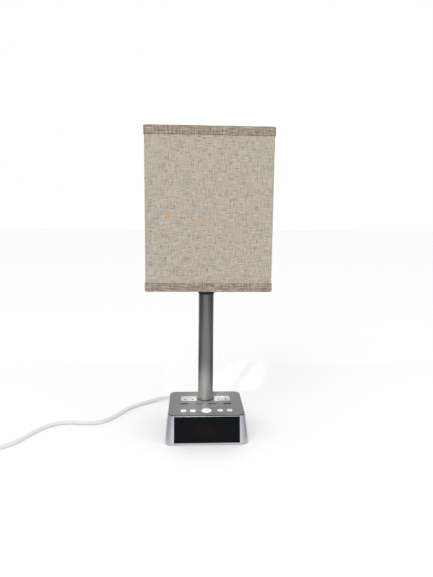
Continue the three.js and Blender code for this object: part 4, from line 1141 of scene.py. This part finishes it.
class LAMP_OT_stage(bpy.types.Operator):
    """Sets the camera, the pale floor, the soft lights and the dark cards beside the lamp"""

    bl_idname = "lamp.stage"
    bl_label = "Stage"

    def execute(self, context):
        scene = context.scene
        self.camera(scene)
        far = FLOOR_REACH
        sheet_of("floor", [(-far, -far, 0), (far, -far, 0), (far, far, 0), (-far, far, 0)], 0.96)
        self.cards()
        world = bpy.data.worlds.new("studio")
        world.use_nodes = True
        background = world.node_tree.nodes["Background"]
        background.inputs["Color"].default_value = (1, 1, 1, 1)
        background.inputs["Strength"].default_value = scene.lamp_settings.world_light
        scene.world = world
        scene.view_settings.view_transform = "Standard"
        wide = {"shape": "RECTANGLE", "size": 0.9, "size_y": 0.9}
        light("key", "AREA", (-0.55, -1.15, 1.25), (0, 0, 0.25), 5, **wide)
        wide = {"shape": "RECTANGLE", "size": 1.0, "size_y": 1.0}
        light("fill", "AREA", (0.9, -0.9, 0.7), (0, 0, 0.25), 2, **wide)
        narrow = {"spot_size": math.radians(4.6), "spot_blend": 1.0, "shadow_soft_size": 0.03}
        light("foot_spot", "SPOT", (-0.22, -0.62, 0.26), (-0.005, -0.0125, 0.066), 150.0, **narrow)
        return {"FINISHED"}

    def cards(self):
        """Dark cards at both sides, which only show as reflections in the metal."""
        back, front, low, top = CARD_BACK, LOW_CARD_FRONT, LOW_CARD_Z, CARD_TOP
        for name, side, nearest in (("left", -1, -0.75), ("right", 1, -1.15)):
            x, near = side * CARD_X, side * LOW_CARD_X
            upright = [(x, nearest, 0.0), (x, back, 0.0), (x, back, top), (x, nearest, top)]
            flat = [(near, front, low), (x, front, low), (x, back, low), (near, back, low)]
            for label, corners in ((f"card_{name}", upright), (f"card_low_{name}", flat)):
                dark = sheet_of(label, corners, 0.01)
                dark.visible_camera = dark.visible_diffuse = dark.visible_shadow = False

    def camera(self, scene):
        level = Vector((math.sin(CAMERA_TURN), math.cos(CAMERA_TURN), 0))
        right = Vector((math.cos(CAMERA_TURN), -math.sin(CAMERA_TURN), 0))
        sky = Vector((0, 0, 1))
        ahead = level * math.cos(CAMERA_DOWN) - sky * math.sin(CAMERA_DOWN)
        upward = level * math.sin(CAMERA_DOWN) + sky * math.cos(CAMERA_DOWN)
        side = right * math.cos(CAMERA_ROLL) + upward * math.sin(CAMERA_ROLL)
        upward = upward * math.cos(CAMERA_ROLL) - right * math.sin(CAMERA_ROLL)
        data = bpy.data.cameras.new("camera")
        data.lens = CAMERA_LENS
        data.sensor_width = 36.0
        data.clip_start = 0.01
        camera = bpy.data.objects.new("camera", data)
        axes = Matrix((side, upward, -ahead)).transposed().to_4x4()
        camera.matrix_world = Matrix.Translation(Vector(CAMERA_PLACE)) @ axes
        scene.collection.objects.link(camera)
        scene.camera = camera


# -------------------- add-on
class LampSettings(bpy.types.PropertyGroup):
    cloth_thickness: bpy.props.FloatProperty(
        name="Cloth thickness",
        description="Thickness of the shade's linen",
        default=0.0005,
        unit="LENGTH",
    )
    world_light: bpy.props.FloatProperty(
        name="World light",
        description="Strength of the light from all around",
        default=1.0,
        subtype="FACTOR",
    )


class LAMP_PT_panel(bpy.types.Panel):
    """Buttons for each group of pieces"""

    bl_idname = "LAMP_PT_panel"
    bl_label = "Alarm Clock Lamp"
    bl_space_type = "VIEW_3D"
    bl_region_type = "UI"
    bl_category = "Lamp"

    def draw(self, context):
        settings = context.scene.lamp_settings
        self.layout.prop(settings, "cloth_thickness")
        self.layout.prop(settings, "world_light")
        for step in STEPS:
            self.layout.operator(step.bl_idname)


STEPS = (
    LAMP_OT_stage,
    LAMP_OT_parts,
    LAMP_OT_shade,
    LAMP_OT_pole,
    LAMP_OT_socket,
    LAMP_OT_base,
    LAMP_OT_buttons,
    LAMP_OT_cord,
)
CLASSES = (LampSettings, *STEPS, LAMP_PT_panel)


def register():
    for each in CLASSES:
        bpy.utils.register_class(each)
    bpy.types.Scene.lamp_settings = bpy.props.PointerProperty(type=LampSettings)


def unregister():
    del bpy.types.Scene.lamp_settings
    for each in reversed(CLASSES):
        bpy.utils.unregister_class(each)


def main():
    register()
    FRAME.update(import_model())
    bpy.ops.lamp.stage()
    bpy.ops.lamp.parts()
    bpy.ops.lamp.shade()
    bpy.ops.lamp.pole()
    bpy.ops.lamp.socket()
    bpy.ops.lamp.base()
    bpy.ops.lamp.buttons()
    bpy.ops.lamp.cord()


if __name__ == "__main__":
    main()
